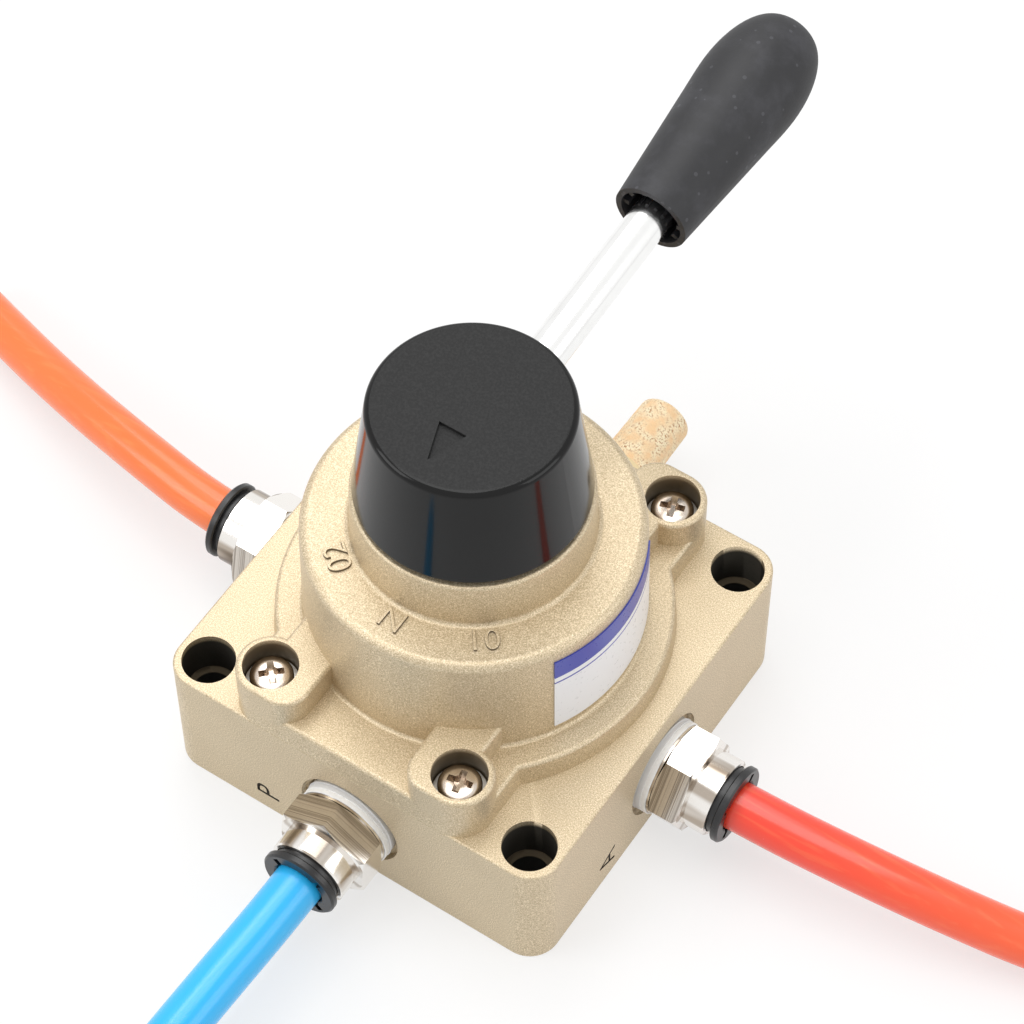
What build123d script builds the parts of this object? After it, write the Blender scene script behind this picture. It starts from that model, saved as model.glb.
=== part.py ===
from build123d import *
import math
import os

# Hand lever air valve, four ports and three positions, in millimetres.
# Origin: centre of the base's underside. +Z runs up the spindle, and port P faces -Y.

# Base block
BASE_SIDE = 70.0
BASE_HEIGHT = 24.8
BASE_CORNER_R = 5.0
BASE_EDGE_R = 0.4
MOUNT_PITCH = 59.2
MOUNT_HOLE_D = 6.4
MOUNT_BORE_D = 8.5
MOUNT_BORE_DEPTH = 8.8
FACE = BASE_SIDE / 2

# Ports
PORT_Z = 11.8
PORT_BORE_D = 15.9
PORT_BORE_DEPTH = 11.0
PORT_FACE_D = 18.0
PORT_FACE_DEPTH = 1.3
PASSAGE_D = 9.0
SEAT_PORT_RADIUS = 13.0
SEAT_PORT_D = 7.6
PORT_ANGLES = {"p": -90.0, "a": 0.0, "b": 180.0, "r": 90.0}
HEX_TURNS = {"p": 57.0, "a": 25.0, "b": 12.0, "r": 0.0}

# Seat plate, gasket and rotor
PLATE_D = 47.0
PLATE_T = 2.0
GASKET_T = 0.5
GASKET_INSET = 1.3
ROTOR_D = 47.8
ROTOR_T = 6.9
ROTOR_HUB_D = 19.0
ROTOR_HUB_H = 3.2
KIDNEY_HALF_ANGLE = 52.0
KIDNEY_DEPTH = 3.2
LEVER_TURN = 38.0

# Cover
FLANGE_R = 31.25
FLANGE_WIDTH = 45.2
FLANGE_H = 4.4
FLANGE_DRAFT = 4.5
FLANGE_EDGE_R = 0.7
FOOT_FILLET_R = 0.7
CYLINDER_FOOT_R = 26.55
CYLINDER_TOP_R = 26.2
SHOULDER_Z = 50.9
SHOULDER_R = 1.4
COLLAR_FOOT_R = 18.64
COLLAR_TOP_R = 18.34
COLLAR_TOP_Z = 60.1
COLLAR_FOOT_FILLET_R = 0.8
COLLAR_EDGE_R = 0.5
CAVITY_R = 24.2
CAVITY_TOP_Z = 46.0
CEILING_BOSS_R = 14.0
CEILING_Z = 41.0
LUG_TOP_Z = 34.4
LUG_R = 5.4
LUG_INNER_X = 9.4
LUG_OUTER_X = 18.0
LUG_CORNER_R = 4.3
LUG_EDGE_R = 0.7

# Cover screws with their flat and spring washers
SCREW_X = 17.2
SCREW_Y = 29.6
SCREW_D = 4.0
SCREW_HEAD_D = 6.8
SCREW_HEAD_H = 1.8
SCREW_HEAD_EDGE_R = 0.8
SCREW_DEPTH = 15.0
SCREW_PASS_PLAY = 0.25
SCREW_BORE_D = 8.7
FLAT_WASHER_D = 8.3
FLAT_WASHER_T = 0.5
SPRING_WASHER_D = 7.2
SPRING_WASHER_T = 0.8
WASHER_HOLE_PLAY = 0.15
WASHER_SPLIT = 0.5

# Spindle
SPINDLE_D = 12.0
SPINDLE_TOP_Z = 74.4
SPINDLE_CHAMFER = 0.5
SPINDLE_FOOT_GAP = 0.5
SPINDLE_COLLAR_D = 19.0
SPINDLE_COLLAR_T = 2.0
THRUST_WASHER_D = 18.0
THRUST_WASHER_T = 0.9
BUSH_D = 17.0
BUSH_TOP_Z = 58.4
ORING_Z = 51.0
ORING_SECTION = 1.0
ORING_GROOVE_HALF = 0.6
PIN_D = 3.0
PIN_LENGTH = 17.0
PIN_CHAMFER = 0.3
DISC_SPRING_T = 0.6
DISC_SPRING_H = 1.3

# Detent
DETENT_RADIUS = 13.5
DETENT_BALL_D = 5.0
DETENT_BALL_Z = 59.55
DETENT_POCKET_DEPTH = 9.0
DETENT_SPRING_D = 4.6
DETENT_WIRE_D = 0.8
DETENT_COILS = 3.5
DETENT_SIDES = (0.0, 180.0)
INDEX_INNER_R = 10.0
INDEX_OUTER_R = 16.5
INDEX_T = 2.9
NOTCH_DEEPER = 0.35

# Knob, lever and grip
KNOB_BOTTOM_Z = 60.9
KNOB_BOTTOM_R = 18.0
KNOB_TOP_R = 15.4
KNOB_TOP_Z = 79.9
KNOB_EDGE_R = 1.1
KNOB_FOOT_EDGE_R = 0.4
POINTER_TIP = 11.2
POINTER_BACK = 4.7
POINTER_HALF = 2.35
POINTER_DEPTH = 0.6
LEVER_TILT = 4.5
LEVER_Z = 68.9
LEVER_D = 6.4
LEVER_END = 86.0
LEVER_ROOT = -2.2
LEVER_CHAMFER = 0.4
GRIP_START = 48.3
GRIP_MOUTH_R = 6.2
GRIP_TAPER_END = 69.5
GRIP_TAPER_R = 7.95
GRIP_BELLY = 77.8
GRIP_BELLY_R = 8.42
GRIP_END = 89.8
GRIP_DOME_R = 6.15
GRIP_DOME_BACK = 2.9
GRIP_WALL = 0.95
GRIP_CAVITY_DEPTH = 13.0
GRIP_RIBS = 10
GRIP_RIB_W = 0.9
GRIP_RIB_H = 1.0
GRIP_RIB_SINK = 0.1
GRIP_RIB_BACK = 0.6

# Push-in fittings, placed outward from the base's face
SPIGOT_D = 15.8
SEAL_D = 16.2
SEAL_T = 0.34
SEAL_START = FACE - 1.25
SEAL_END = FACE + 1.6
COLLAR_DISC_D = 15.4
HEX_START = FACE + 2.0
HEX_END = FACE + 7.4
HEX_FLATS = 15.0
HEX_CHAMFER = 0.6
BARREL_D = 13.0
BARREL_CHAMFER = 0.25
BARREL_END = FACE + 11.2
TUBE_D = 8.0
TUBE_STOP = FACE + 2.0
FITTING_BORE_D = 6.0
TUBE_ORING_SECTION = 1.5
CLAW_START = FACE + 3.7
CLAW_T = 0.7
CLAW_SHEET = 0.3
CLAWS = 8
CLAW_SLIT = 0.35
COLLET_START = FACE + 5.9
COLLET_SHANK_D = 10.4
COLLET_NECK_D = 11.2
COLLET_NECK_START = FACE + 11.0
COLLET_FLANGE_START = FACE + 12.3
COLLET_FLANGE_D = 13.0
COLLET_END = FACE + 13.6
COLLET_TRAVEL = 1.0
COLLET_NOTCHES = 4
COLLET_NOTCH_W = 1.1
COLLET_SLIT_W = 0.8
COLLET_CHAMFER = 0.3
COLLET_NECK_PLAY = 0.15

# Muffler on port R
MUFFLER_HEX_START = FACE + 0.1
MUFFLER_HEX_END = FACE + 6.0
MUFFLER_HEX_FLATS = 17.0
ELEMENT_START = FACE + 5.0
ELEMENT_END = FACE + 21.5
ELEMENT_FOOT_D = 9.5
ELEMENT_TIP_D = 9.0
ELEMENT_EDGE_R = 1.0
ELEMENT_BORE_D = 6.2
ELEMENT_END_WALL = 2.2

# Label on the cover's wall
LABEL_HALF_ANGLE = 29.5
LABEL_BOTTOM_Z = 30.9
LABEL_TOP_Z = 48.2
LABEL_T = 0.25

# Clearances
RUNNING = 0.03
CLOSE = 0.05
LOOSE = 0.1
COLLET_PLAY = 0.2
COVER_MOUTH_PLAY = 0.3

# Tube routes, as points of their centre lines: level out of the fitting, then down to the surface
TUBE_ROUTES = {
    "p": [(0, -37.0, 11.8), (0, -54.0, 11.8), (-0.7, -70.5, 11.8), (-1.1, -86.0, 11.7)],
    "a": [
        (37.0, 0, 11.8), (51.5, 0, 11.8), (68.0, 1.4, 11.0),
        (84.0, 4.1, 8.6), (100.0, 7.7, 5.6), (114.0, 11.9, 4.15),
    ],
    "b": [
        (-37.0, 0, 11.8), (-51.5, 0, 11.8), (-68.0, 3.0, 11.0),
        (-85.0, 7.1, 8.6), (-102.0, 12.3, 5.6), (-117.5, 17.3, 4.15),
    ],
}

GASKET_TOP = BASE_HEIGHT + GASKET_T
FLANGE_TOP = BASE_HEIGHT + FLANGE_H
SCREW_PASS_R = SCREW_D / 2 + SCREW_PASS_PLAY
WASHER_HOLE_R = SCREW_D / 2 + WASHER_HOLE_PLAY
SPRING_WASHER_Z = FLANGE_TOP + FLAT_WASHER_T
SCREW_HEAD_Z = SPRING_WASHER_Z + SPRING_WASHER_T
ROTOR_TOP = BASE_HEIGHT + ROTOR_T
HUB_TOP = ROTOR_TOP + ROTOR_HUB_H
PIN_Z = HUB_TOP - ROTOR_HUB_H / 2
SPINDLE_COLLAR_TOP = CEILING_Z - THRUST_WASHER_T - LOOSE
SPINDLE_COLLAR_BOTTOM = SPINDLE_COLLAR_TOP - SPINDLE_COLLAR_T
PORT_BORE_END = FACE - PORT_BORE_DEPTH
SPIGOT_START = PORT_BORE_END + 1.5
SCREW_PLACES = [(x, y) for x in (-SCREW_X, SCREW_X) for y in (-SCREW_Y, SCREW_Y)]


def turned(points, arc=360.0):
    """A solid of revolution about Z from a closed outline of (radius, height) points."""
    outline = Plane.XZ * make_face(Polyline(*points, close=True))
    return revolve(outline, Axis.Z, arc)


def rod(radius, low, high):
    """An upright cylinder between two heights."""
    return Pos(0, 0, (low + high) / 2) * Cylinder(radius, high - low)


def ring(inner, outer, low, high):
    """An upright tube between two heights."""
    return rod(outer, low, high) - rod(inner, low - 1, high + 1)


def to_port(shape, port):
    """Lay a shape made along +Z onto a port's axis, pointing out of the base."""
    return Pos(0, 0, PORT_Z) * Rot(0, 0, PORT_ANGLES[port]) * Rot(0, 90, 0) * shape


def to_lever(shape):
    """Lay a shape made along +Z onto the lever's axis."""
    return Pos(0, 0, LEVER_Z) * Rot(LEVER_TILT - 90, 0, 0) * shape


def rim_edges(shape, radius, height):
    """The full circular edges of a given radius at a given height."""
    circles = shape.edges().filter_by(GeomType.CIRCLE)
    return [e for e in circles if abs(e.radius - radius) < 0.01 and abs(e.center().Z - height) < 0.01]


def hexagon(flats, low, high, chamfer_size):
    """A hexagon nut form whose corners are turned off by a cone at both ends."""
    corner = flats / math.sqrt(3)
    prism = Pos(0, 0, low) * extrude(RegularPolygon(corner, 6), high - low)
    lathe = turned([
        (0, low),
        (corner - 2 * chamfer_size, low),
        (corner, low + chamfer_size),
        (corner, high - chamfer_size),
        (corner - 2 * chamfer_size, high),
        (0, high),
    ])
    return prism & lathe


def base_body():
    """The square block with its ports, passages and mounting holes."""
    block = extrude(RectangleRounded(BASE_SIDE, BASE_SIDE, BASE_CORNER_R), BASE_HEIGHT)
    top_edges = block.edges().group_by(Axis.Z)[-1]
    block = fillet(top_edges, BASE_EDGE_R)
    half = MOUNT_PITCH / 2
    for x in (-half, half):
        for y in (-half, half):
            block -= Pos(x, y) * rod(MOUNT_HOLE_D / 2, -1, BASE_HEIGHT + 1)
            block -= Pos(x, y) * rod(MOUNT_BORE_D / 2, BASE_HEIGHT - MOUNT_BORE_DEPTH, BASE_HEIGHT + 1)
    for x, y in SCREW_PLACES:
        block -= Pos(x, y) * rod(SCREW_D / 2 + CLOSE, FLANGE_TOP - SCREW_DEPTH - 1, BASE_HEIGHT + 1)
    block -= rod(PLATE_D / 2 + CLOSE, BASE_HEIGHT - PLATE_T, BASE_HEIGHT + 1)
    passage_end = SEAT_PORT_RADIUS - SEAT_PORT_D / 2
    for port, angle in PORT_ANGLES.items():
        block -= to_port(rod(PORT_FACE_D / 2, FACE - PORT_FACE_DEPTH, FACE + 1), port)
        block -= to_port(rod(PORT_BORE_D / 2, PORT_BORE_END, FACE), port)
        block -= to_port(rod(PASSAGE_D / 2, passage_end, FACE - 1), port)
        riser = Pos(SEAT_PORT_RADIUS, 0) * rod(SEAT_PORT_D / 2, PORT_Z, BASE_HEIGHT)
        block -= Rot(0, 0, angle) * riser
    return block


def port_plate():
    """The hard seat that the rotor slides on, with one opening for each port."""
    plate = rod(PLATE_D / 2, BASE_HEIGHT - PLATE_T, BASE_HEIGHT)
    for angle in PORT_ANGLES.values():
        hole = Pos(SEAT_PORT_RADIUS, 0) * rod(SEAT_PORT_D / 2, 0, BASE_HEIGHT + 1)
        plate -= Rot(0, 0, angle) * hole
    return plate


def flange_outline(inset=0.0):
    """The cover's foot: a disc and a rounded oblong that carries the screws."""
    length = BASE_SIDE - 2 * inset
    oblong = RectangleRounded(FLANGE_WIDTH - 2 * inset, length, LUG_R - inset)
    return Circle(FLANGE_R - inset) + oblong


def body_gasket():
    """The thin seal between base and cover, let into the cover's underside."""
    sheet = Pos(0, 0, BASE_HEIGHT) * extrude(flange_outline(GASKET_INSET), GASKET_T)
    sheet -= rod(CAVITY_R, BASE_HEIGHT - 1, GASKET_TOP + 1)
    for x, y in SCREW_PLACES:
        sheet -= Pos(x, y) * rod(SCREW_PASS_R, BASE_HEIGHT - 1, GASKET_TOP + 1)
    return sheet


def screw_lug():
    """One screw lug at +X, -Y: a round boss, a rounded corner and a tongue to the cylinder."""
    inner_y = CYLINDER_TOP_R * 0.6
    outer_y = SCREW_Y + LUG_R
    corner_x = LUG_INNER_X + LUG_CORNER_R
    corner_y = outer_y - LUG_CORNER_R
    outline = Pos(SCREW_X, -SCREW_Y) * Circle(LUG_R)
    outline += Pos(corner_x, -corner_y) * Circle(LUG_CORNER_R)
    outline += Pos((corner_x + SCREW_X) / 2, -(inner_y + outer_y) / 2) * Rectangle(
        SCREW_X - corner_x, outer_y - inner_y
    )
    outline += Pos((LUG_INNER_X + LUG_OUTER_X) / 2, -(inner_y + corner_y) / 2) * Rectangle(
        LUG_OUTER_X - LUG_INNER_X, corner_y - inner_y
    )
    lug = Pos(0, 0, FLANGE_TOP - 1) * extrude(outline, LUG_TOP_Z - FLANGE_TOP + 1)
    return fillet(lug.edges().group_by(Axis.Z)[-1], LUG_EDGE_R)


def cover():
    """The die-cast housing: drafted flange, four lugs, cylinder, shoulder and collar."""
    flange = Pos(0, 0, BASE_HEIGHT) * extrude(flange_outline(), FLANGE_H, taper=FLANGE_DRAFT)
    flange = fillet(flange.edges().group_by(Axis.Z)[-1], FLANGE_EDGE_R)
    plinth_r = CYLINDER_FOOT_R + 2 * FOOT_FILLET_R
    shell = turned([
        (0, FLANGE_TOP - 1),
        (plinth_r, FLANGE_TOP - 1),
        (plinth_r, FLANGE_TOP),
        (CYLINDER_FOOT_R, FLANGE_TOP),
        (CYLINDER_TOP_R, SHOULDER_Z),
        (COLLAR_FOOT_R, SHOULDER_Z),
        (COLLAR_TOP_R, COLLAR_TOP_Z),
        (0, COLLAR_TOP_Z),
    ])
    shell = fillet(rim_edges(shell, CYLINDER_FOOT_R, FLANGE_TOP), FOOT_FILLET_R)
    shell = fillet(rim_edges(shell, CYLINDER_TOP_R, SHOULDER_Z), SHOULDER_R)
    shell = fillet(rim_edges(shell, COLLAR_FOOT_R, SHOULDER_Z), COLLAR_FOOT_FILLET_R)
    shell = fillet(rim_edges(shell, COLLAR_TOP_R, COLLAR_TOP_Z), COLLAR_EDGE_R)
    lug = screw_lug()
    lugs = [lug, mirror(lug, Plane.YZ), mirror(lug, Plane.XZ), mirror(mirror(lug, Plane.YZ), Plane.XZ)]
    body = flange + shell + lugs
    body -= Pos(0, 0, BASE_HEIGHT) * extrude(flange_outline(GASKET_INSET - CLOSE), GASKET_T)
    mouth_r = SPINDLE_D / 2 + COVER_MOUTH_PLAY
    body -= turned([
        (0, BASE_HEIGHT - 1),
        (CAVITY_R, BASE_HEIGHT - 1),
        (CAVITY_R, CAVITY_TOP_Z),
        (CEILING_BOSS_R, CAVITY_TOP_Z),
        (CEILING_BOSS_R, CEILING_Z),
        (BUSH_D / 2, CEILING_Z),
        (BUSH_D / 2, BUSH_TOP_Z + LOOSE),
        (mouth_r, BUSH_TOP_Z + LOOSE),
        (mouth_r, COLLAR_TOP_Z + 1),
        (0, COLLAR_TOP_Z + 1),
    ])
    for angle in DETENT_SIDES:
        pocket = rod(DETENT_BALL_D / 2 + LOOSE, COLLAR_TOP_Z - DETENT_POCKET_DEPTH, COLLAR_TOP_Z + 1)
        body -= Rot(0, 0, angle) * Pos(DETENT_RADIUS, 0) * pocket
    for x, y in SCREW_PLACES:
        body -= Pos(x, y) * rod(SCREW_PASS_R, BASE_HEIGHT - 1, LUG_TOP_Z)
        body -= Pos(x, y) * rod(SCREW_BORE_D / 2, FLANGE_TOP, LUG_TOP_Z + 1)
    return body


def cover_screw():
    """A pan head screw standing at the origin's axis, head up."""
    shank = rod(SCREW_D / 2, FLANGE_TOP - SCREW_DEPTH, SCREW_HEAD_Z)
    head = rod(SCREW_HEAD_D / 2, SCREW_HEAD_Z, SCREW_HEAD_Z + SCREW_HEAD_H)
    head = fillet(head.edges().group_by(Axis.Z)[-1], SCREW_HEAD_EDGE_R)
    return shank + head


def flat_washer():
    """A plain washer on the cover's screw seat."""
    return ring(WASHER_HOLE_R, FLAT_WASHER_D / 2, FLANGE_TOP, SPRING_WASHER_Z)


def spring_washer():
    """A split ring washer between the plain washer and a screw's head."""
    washer = ring(WASHER_HOLE_R, SPRING_WASHER_D / 2, SPRING_WASHER_Z, SCREW_HEAD_Z)
    middle_z = SPRING_WASHER_Z + SPRING_WASHER_T / 2
    split = Pos(SPRING_WASHER_D / 2 - 1, 0, middle_z) * Rot(20, 0, 0) * Box(4, WASHER_SPLIT, 4)
    return washer - split


def rotor():
    """The valve disc: two blind kidney slots join neighbouring ports when it is turned."""
    disc = rod(ROTOR_D / 2, BASE_HEIGHT, ROTOR_TOP)
    disc += rod(ROTOR_HUB_D / 2, ROTOR_TOP, HUB_TOP)
    for middle in (-90.0, 90.0):
        path = CenterArc((0, 0), SEAT_PORT_RADIUS, middle - KIDNEY_HALF_ANGLE, 2 * KIDNEY_HALF_ANGLE)
        slot = extrude(SlotArc(path, SEAT_PORT_D), KIDNEY_DEPTH)
        disc -= Pos(0, 0, BASE_HEIGHT) * slot
    disc -= rod(SPINDLE_D / 2 + RUNNING, BASE_HEIGHT + KIDNEY_DEPTH, HUB_TOP + 1)
    disc -= Pos(0, 0, PIN_Z) * Rot(0, 90, 0) * Cylinder(PIN_D / 2 + RUNNING, PIN_LENGTH + 1)
    return Pos(0, 0, RUNNING) * disc


def drive_pin():
    """The cross pin that turns the rotor."""
    pin = Cylinder(PIN_D / 2, PIN_LENGTH)
    pin = chamfer(pin.edges(), PIN_CHAMFER)
    return Pos(0, 0, PIN_Z + RUNNING) * Rot(0, 90, 0) * pin


def spindle():
    """The turned shaft from rotor to knob, with its collar, seal groove and cross holes."""
    radius = SPINDLE_D / 2
    low = BASE_HEIGHT + KIDNEY_DEPTH + SPINDLE_FOOT_GAP
    shaft = turned([
        (0, low),
        (radius - SPINDLE_CHAMFER, low),
        (radius, low + SPINDLE_CHAMFER),
        (radius, SPINDLE_COLLAR_BOTTOM),
        (SPINDLE_COLLAR_D / 2, SPINDLE_COLLAR_BOTTOM),
        (SPINDLE_COLLAR_D / 2, SPINDLE_COLLAR_TOP),
        (radius, SPINDLE_COLLAR_TOP),
        (radius, ORING_Z - ORING_GROOVE_HALF),
        (radius - ORING_SECTION, ORING_Z - ORING_GROOVE_HALF),
        (radius - ORING_SECTION, ORING_Z + ORING_GROOVE_HALF),
        (radius, ORING_Z + ORING_GROOVE_HALF),
        (radius, SPINDLE_TOP_Z - SPINDLE_CHAMFER),
        (radius - SPINDLE_CHAMFER, SPINDLE_TOP_Z),
        (0, SPINDLE_TOP_Z),
    ])
    shaft -= Pos(0, 0, PIN_Z + RUNNING) * Rot(0, 90, 0) * Cylinder(PIN_D / 2 + RUNNING, SPINDLE_D + 2)
    shaft -= to_lever(rod(LEVER_D / 2 + RUNNING, LEVER_ROOT, SPINDLE_D))
    return shaft


def oring(mean_radius, section, height):
    """A round-section ring lying level."""
    return Pos(0, 0, height) * Torus(mean_radius, section / 2)


def disc_spring(low, upright):
    """A coned spring washer on the spindle, its cone up or down."""
    inner = SPINDLE_D / 2 + 0.15
    outer = ROTOR_HUB_D / 2 - 0.1
    rise = DISC_SPRING_H - DISC_SPRING_T
    at_inner = low + (rise if upright else 0)
    at_outer = low + (0 if upright else rise)
    return turned([
        (inner, at_inner),
        (outer, at_outer),
        (outer, at_outer + DISC_SPRING_T),
        (inner, at_inner + DISC_SPRING_T),
    ])


def detent_ball():
    """A steel ball in the collar's pocket."""
    return Pos(DETENT_RADIUS, 0, DETENT_BALL_Z) * Sphere(DETENT_BALL_D / 2)


def detent_spring():
    """The coil spring under a detent ball."""
    low = COLLAR_TOP_Z - DETENT_POCKET_DEPTH + DETENT_WIRE_D / 2 + CLOSE
    high = DETENT_BALL_Z - DETENT_BALL_D / 2 - DETENT_WIRE_D / 2 + 0.3
    mean = (DETENT_SPRING_D - DETENT_WIRE_D) / 2
    path = Helix((high - low) / DETENT_COILS, high - low, mean)
    start = Plane(origin=path @ 0, z_dir=path % 0)
    coil = sweep(start * Circle(DETENT_WIRE_D / 2), path, is_frenet=True)
    return Pos(DETENT_RADIUS, 0, low) * coil


def index_ring():
    """The ring under the knob: a round groove for the balls, with three deeper notches for each."""
    plate = ring(INDEX_INNER_R, INDEX_OUTER_R, KNOB_BOTTOM_Z, KNOB_BOTTOM_Z + INDEX_T)
    groove = DETENT_BALL_D / 2 + LOOSE
    plate -= Pos(0, 0, DETENT_BALL_Z) * Torus(DETENT_RADIUS, groove)
    for side in DETENT_SIDES:
        for turn in (-LEVER_TURN, 0, LEVER_TURN):
            notch = Pos(DETENT_RADIUS, 0, DETENT_BALL_Z + NOTCH_DEEPER) * Sphere(groove)
            plate -= Rot(0, 0, side + turn) * notch
    return plate


def knob():
    """The tapered turning head with its pointer mark, hub bore and lever hole."""
    head = turned([
        (0, KNOB_BOTTOM_Z),
        (KNOB_BOTTOM_R, KNOB_BOTTOM_Z),
        (KNOB_TOP_R, KNOB_TOP_Z),
        (0, KNOB_TOP_Z),
    ])
    head = fillet(rim_edges(head, KNOB_TOP_R, KNOB_TOP_Z), KNOB_EDGE_R)
    head = fillet(rim_edges(head, KNOB_BOTTOM_R, KNOB_BOTTOM_Z), KNOB_FOOT_EDGE_R)
    head -= ring(
        INDEX_INNER_R - CLOSE, INDEX_OUTER_R + CLOSE, KNOB_BOTTOM_Z - 1, KNOB_BOTTOM_Z + INDEX_T
    )
    head -= rod(SPINDLE_D / 2 + RUNNING, KNOB_BOTTOM_Z - 1, SPINDLE_TOP_Z + LOOSE)
    head -= to_lever(rod(LEVER_D / 2 + RUNNING, 0, KNOB_BOTTOM_R + 4))
    pointer = make_face(Polyline(
        (-POINTER_HALF, -POINTER_BACK), (POINTER_HALF, -POINTER_BACK), (0, -POINTER_TIP), close=True
    ))
    head -= Pos(0, 0, KNOB_TOP_Z - POINTER_DEPTH) * extrude(pointer, POINTER_DEPTH + 1)
    return head


def lever_rod():
    """The polished rod from the spindle's cross hole into the grip."""
    bar = rod(LEVER_D / 2, LEVER_ROOT, LEVER_END)
    return to_lever(chamfer(bar.edges().filter_by(GeomType.CIRCLE), LEVER_CHAMFER))


def lever_grip():
    """The pear-shaped grip: an open, ribbed mouth, a straight taper and a domed end."""
    taper = Line((GRIP_MOUTH_R, GRIP_START), (GRIP_TAPER_R, GRIP_TAPER_END))
    slope = (GRIP_TAPER_R - GRIP_MOUTH_R, GRIP_TAPER_END - GRIP_START)
    dome = Spline(
        taper @ 1, (GRIP_BELLY_R, GRIP_BELLY), (GRIP_DOME_R, GRIP_END - GRIP_DOME_BACK), (0, GRIP_END),
        tangents=[slope, (-1, 0)],
    )
    axis = Polyline((0, GRIP_END), (0, GRIP_START), (GRIP_MOUTH_R, GRIP_START))
    handle = revolve(Plane.XZ * make_face(taper + dome + axis), Axis.Z)
    hollow_r = GRIP_MOUTH_R - GRIP_WALL
    handle -= rod(hollow_r, GRIP_START - 1, GRIP_START + GRIP_CAVITY_DEPTH)
    middle = hollow_r - GRIP_RIB_H / 2 + GRIP_RIB_SINK
    rib_z = GRIP_START + GRIP_RIB_BACK + GRIP_CAVITY_DEPTH / 2
    rib = Pos(middle, 0, rib_z) * Box(GRIP_RIB_H + 2 * GRIP_RIB_SINK, GRIP_RIB_W, GRIP_CAVITY_DEPTH)
    for k in range(GRIP_RIBS):
        handle += Rot(0, 0, k * 360 / GRIP_RIBS) * rib
    handle -= rod(LEVER_D / 2 + RUNNING, GRIP_START - 1, LEVER_END + LOOSE)
    return to_lever(handle)


def fitting_body(port):
    """A push-in fitting's nickel body: spigot, hexagon and barrel, bored for tube and collet."""
    body = rod(SPIGOT_D / 2, SPIGOT_START, SEAL_START - CLOSE)
    body += rod(SEAL_D / 2 - SEAL_T - CLOSE, SEAL_START - 1, HEX_START)
    body += rod(COLLAR_DISC_D / 2, SEAL_END + CLOSE, HEX_START)
    nut = Rot(0, 0, HEX_TURNS[port]) * hexagon(HEX_FLATS, HEX_START, HEX_END, HEX_CHAMFER)
    body += nut
    barrel = rod(BARREL_D / 2, HEX_END - 1, BARREL_END)
    body += chamfer(barrel.edges().group_by(Axis.Z)[-1], BARREL_CHAMFER)
    shank_bore = COLLET_SHANK_D / 2 + LOOSE
    neck_bore = COLLET_NECK_D / 2 + COLLET_NECK_PLAY
    shank_bore_start = COLLET_START - COLLET_TRAVEL - 0.4
    neck_bore_start = COLLET_NECK_START - COLLET_TRAVEL - 0.2
    groove = TUBE_D / 2 + TUBE_ORING_SECTION + 2 * CLOSE
    body -= turned([
        (0, PORT_BORE_END),
        (FITTING_BORE_D / 2, PORT_BORE_END),
        (FITTING_BORE_D / 2, TUBE_STOP),
        (groove, TUBE_STOP),
        (groove, shank_bore_start),
        (shank_bore, shank_bore_start),
        (shank_bore, neck_bore_start),
        (neck_bore, neck_bore_start),
        (neck_bore, BARREL_END + 1),
        (0, BARREL_END + 1),
    ])
    return to_port(body, port)


def fitting_seal(port):
    """The white ring of thread sealant that shows in the port's face."""
    return to_port(ring(SEAL_D / 2 - SEAL_T, SEAL_D / 2, SEAL_START, SEAL_END), port)


def tube_oring(port):
    """The seal round the tube inside a fitting."""
    mean = TUBE_D / 2 + CLOSE + TUBE_ORING_SECTION / 2
    return to_port(oring(mean, TUBE_ORING_SECTION, TUBE_STOP + TUBE_ORING_SECTION / 2 + CLOSE), port)


def claw_ring(port):
    """The toothed ring that bites the tube."""
    outer = TUBE_D / 2 + TUBE_ORING_SECTION
    inner = TUBE_D / 2 + LOOSE
    claws = turned([
        (inner, CLAW_START),
        (outer, CLAW_START + CLAW_T - CLAW_SHEET),
        (outer, CLAW_START + CLAW_T),
        (inner, CLAW_START + CLAW_SHEET),
    ])
    for k in range(CLAWS):
        slit = Pos(inner, 0, CLAW_START + CLAW_T / 2) * Box(1.4, CLAW_SLIT, 3)
        claws -= Rot(0, 0, k * 360 / CLAWS) * slit
    return to_port(claws, port)


def release_collet(port):
    """The black release collet: a slit shank, a neck and a flange to press in."""
    bore = TUBE_D / 2 + COLLET_PLAY
    collet = turned([
        (bore, COLLET_START),
        (COLLET_SHANK_D / 2, COLLET_START),
        (COLLET_SHANK_D / 2, COLLET_NECK_START),
        (COLLET_NECK_D / 2, COLLET_NECK_START),
        (COLLET_NECK_D / 2, COLLET_FLANGE_START),
        (COLLET_FLANGE_D / 2 - 0.2, COLLET_FLANGE_START),
        (COLLET_FLANGE_D / 2, COLLET_FLANGE_START + 0.2),
        (COLLET_FLANGE_D / 2, COLLET_END - COLLET_CHAMFER),
        (COLLET_FLANGE_D / 2 - COLLET_CHAMFER, COLLET_END),
        (bore + COLLET_CHAMFER, COLLET_END),
        (bore, COLLET_END - COLLET_CHAMFER),
    ])
    for k in range(COLLET_NOTCHES):
        notch = Pos(bore + 0.7, 0, COLLET_END) * Box(1.6, COLLET_NOTCH_W, 1.4)
        slit = Pos(bore, 0, COLLET_START + 1.6) * Box(4, COLLET_SLIT_W, 4)
        collet -= Rot(0, 0, 45 + k * 360 / COLLET_NOTCHES) * notch
        collet -= Rot(0, 0, k * 360 / COLLET_NOTCHES) * slit
    return to_port(collet, port)


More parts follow.
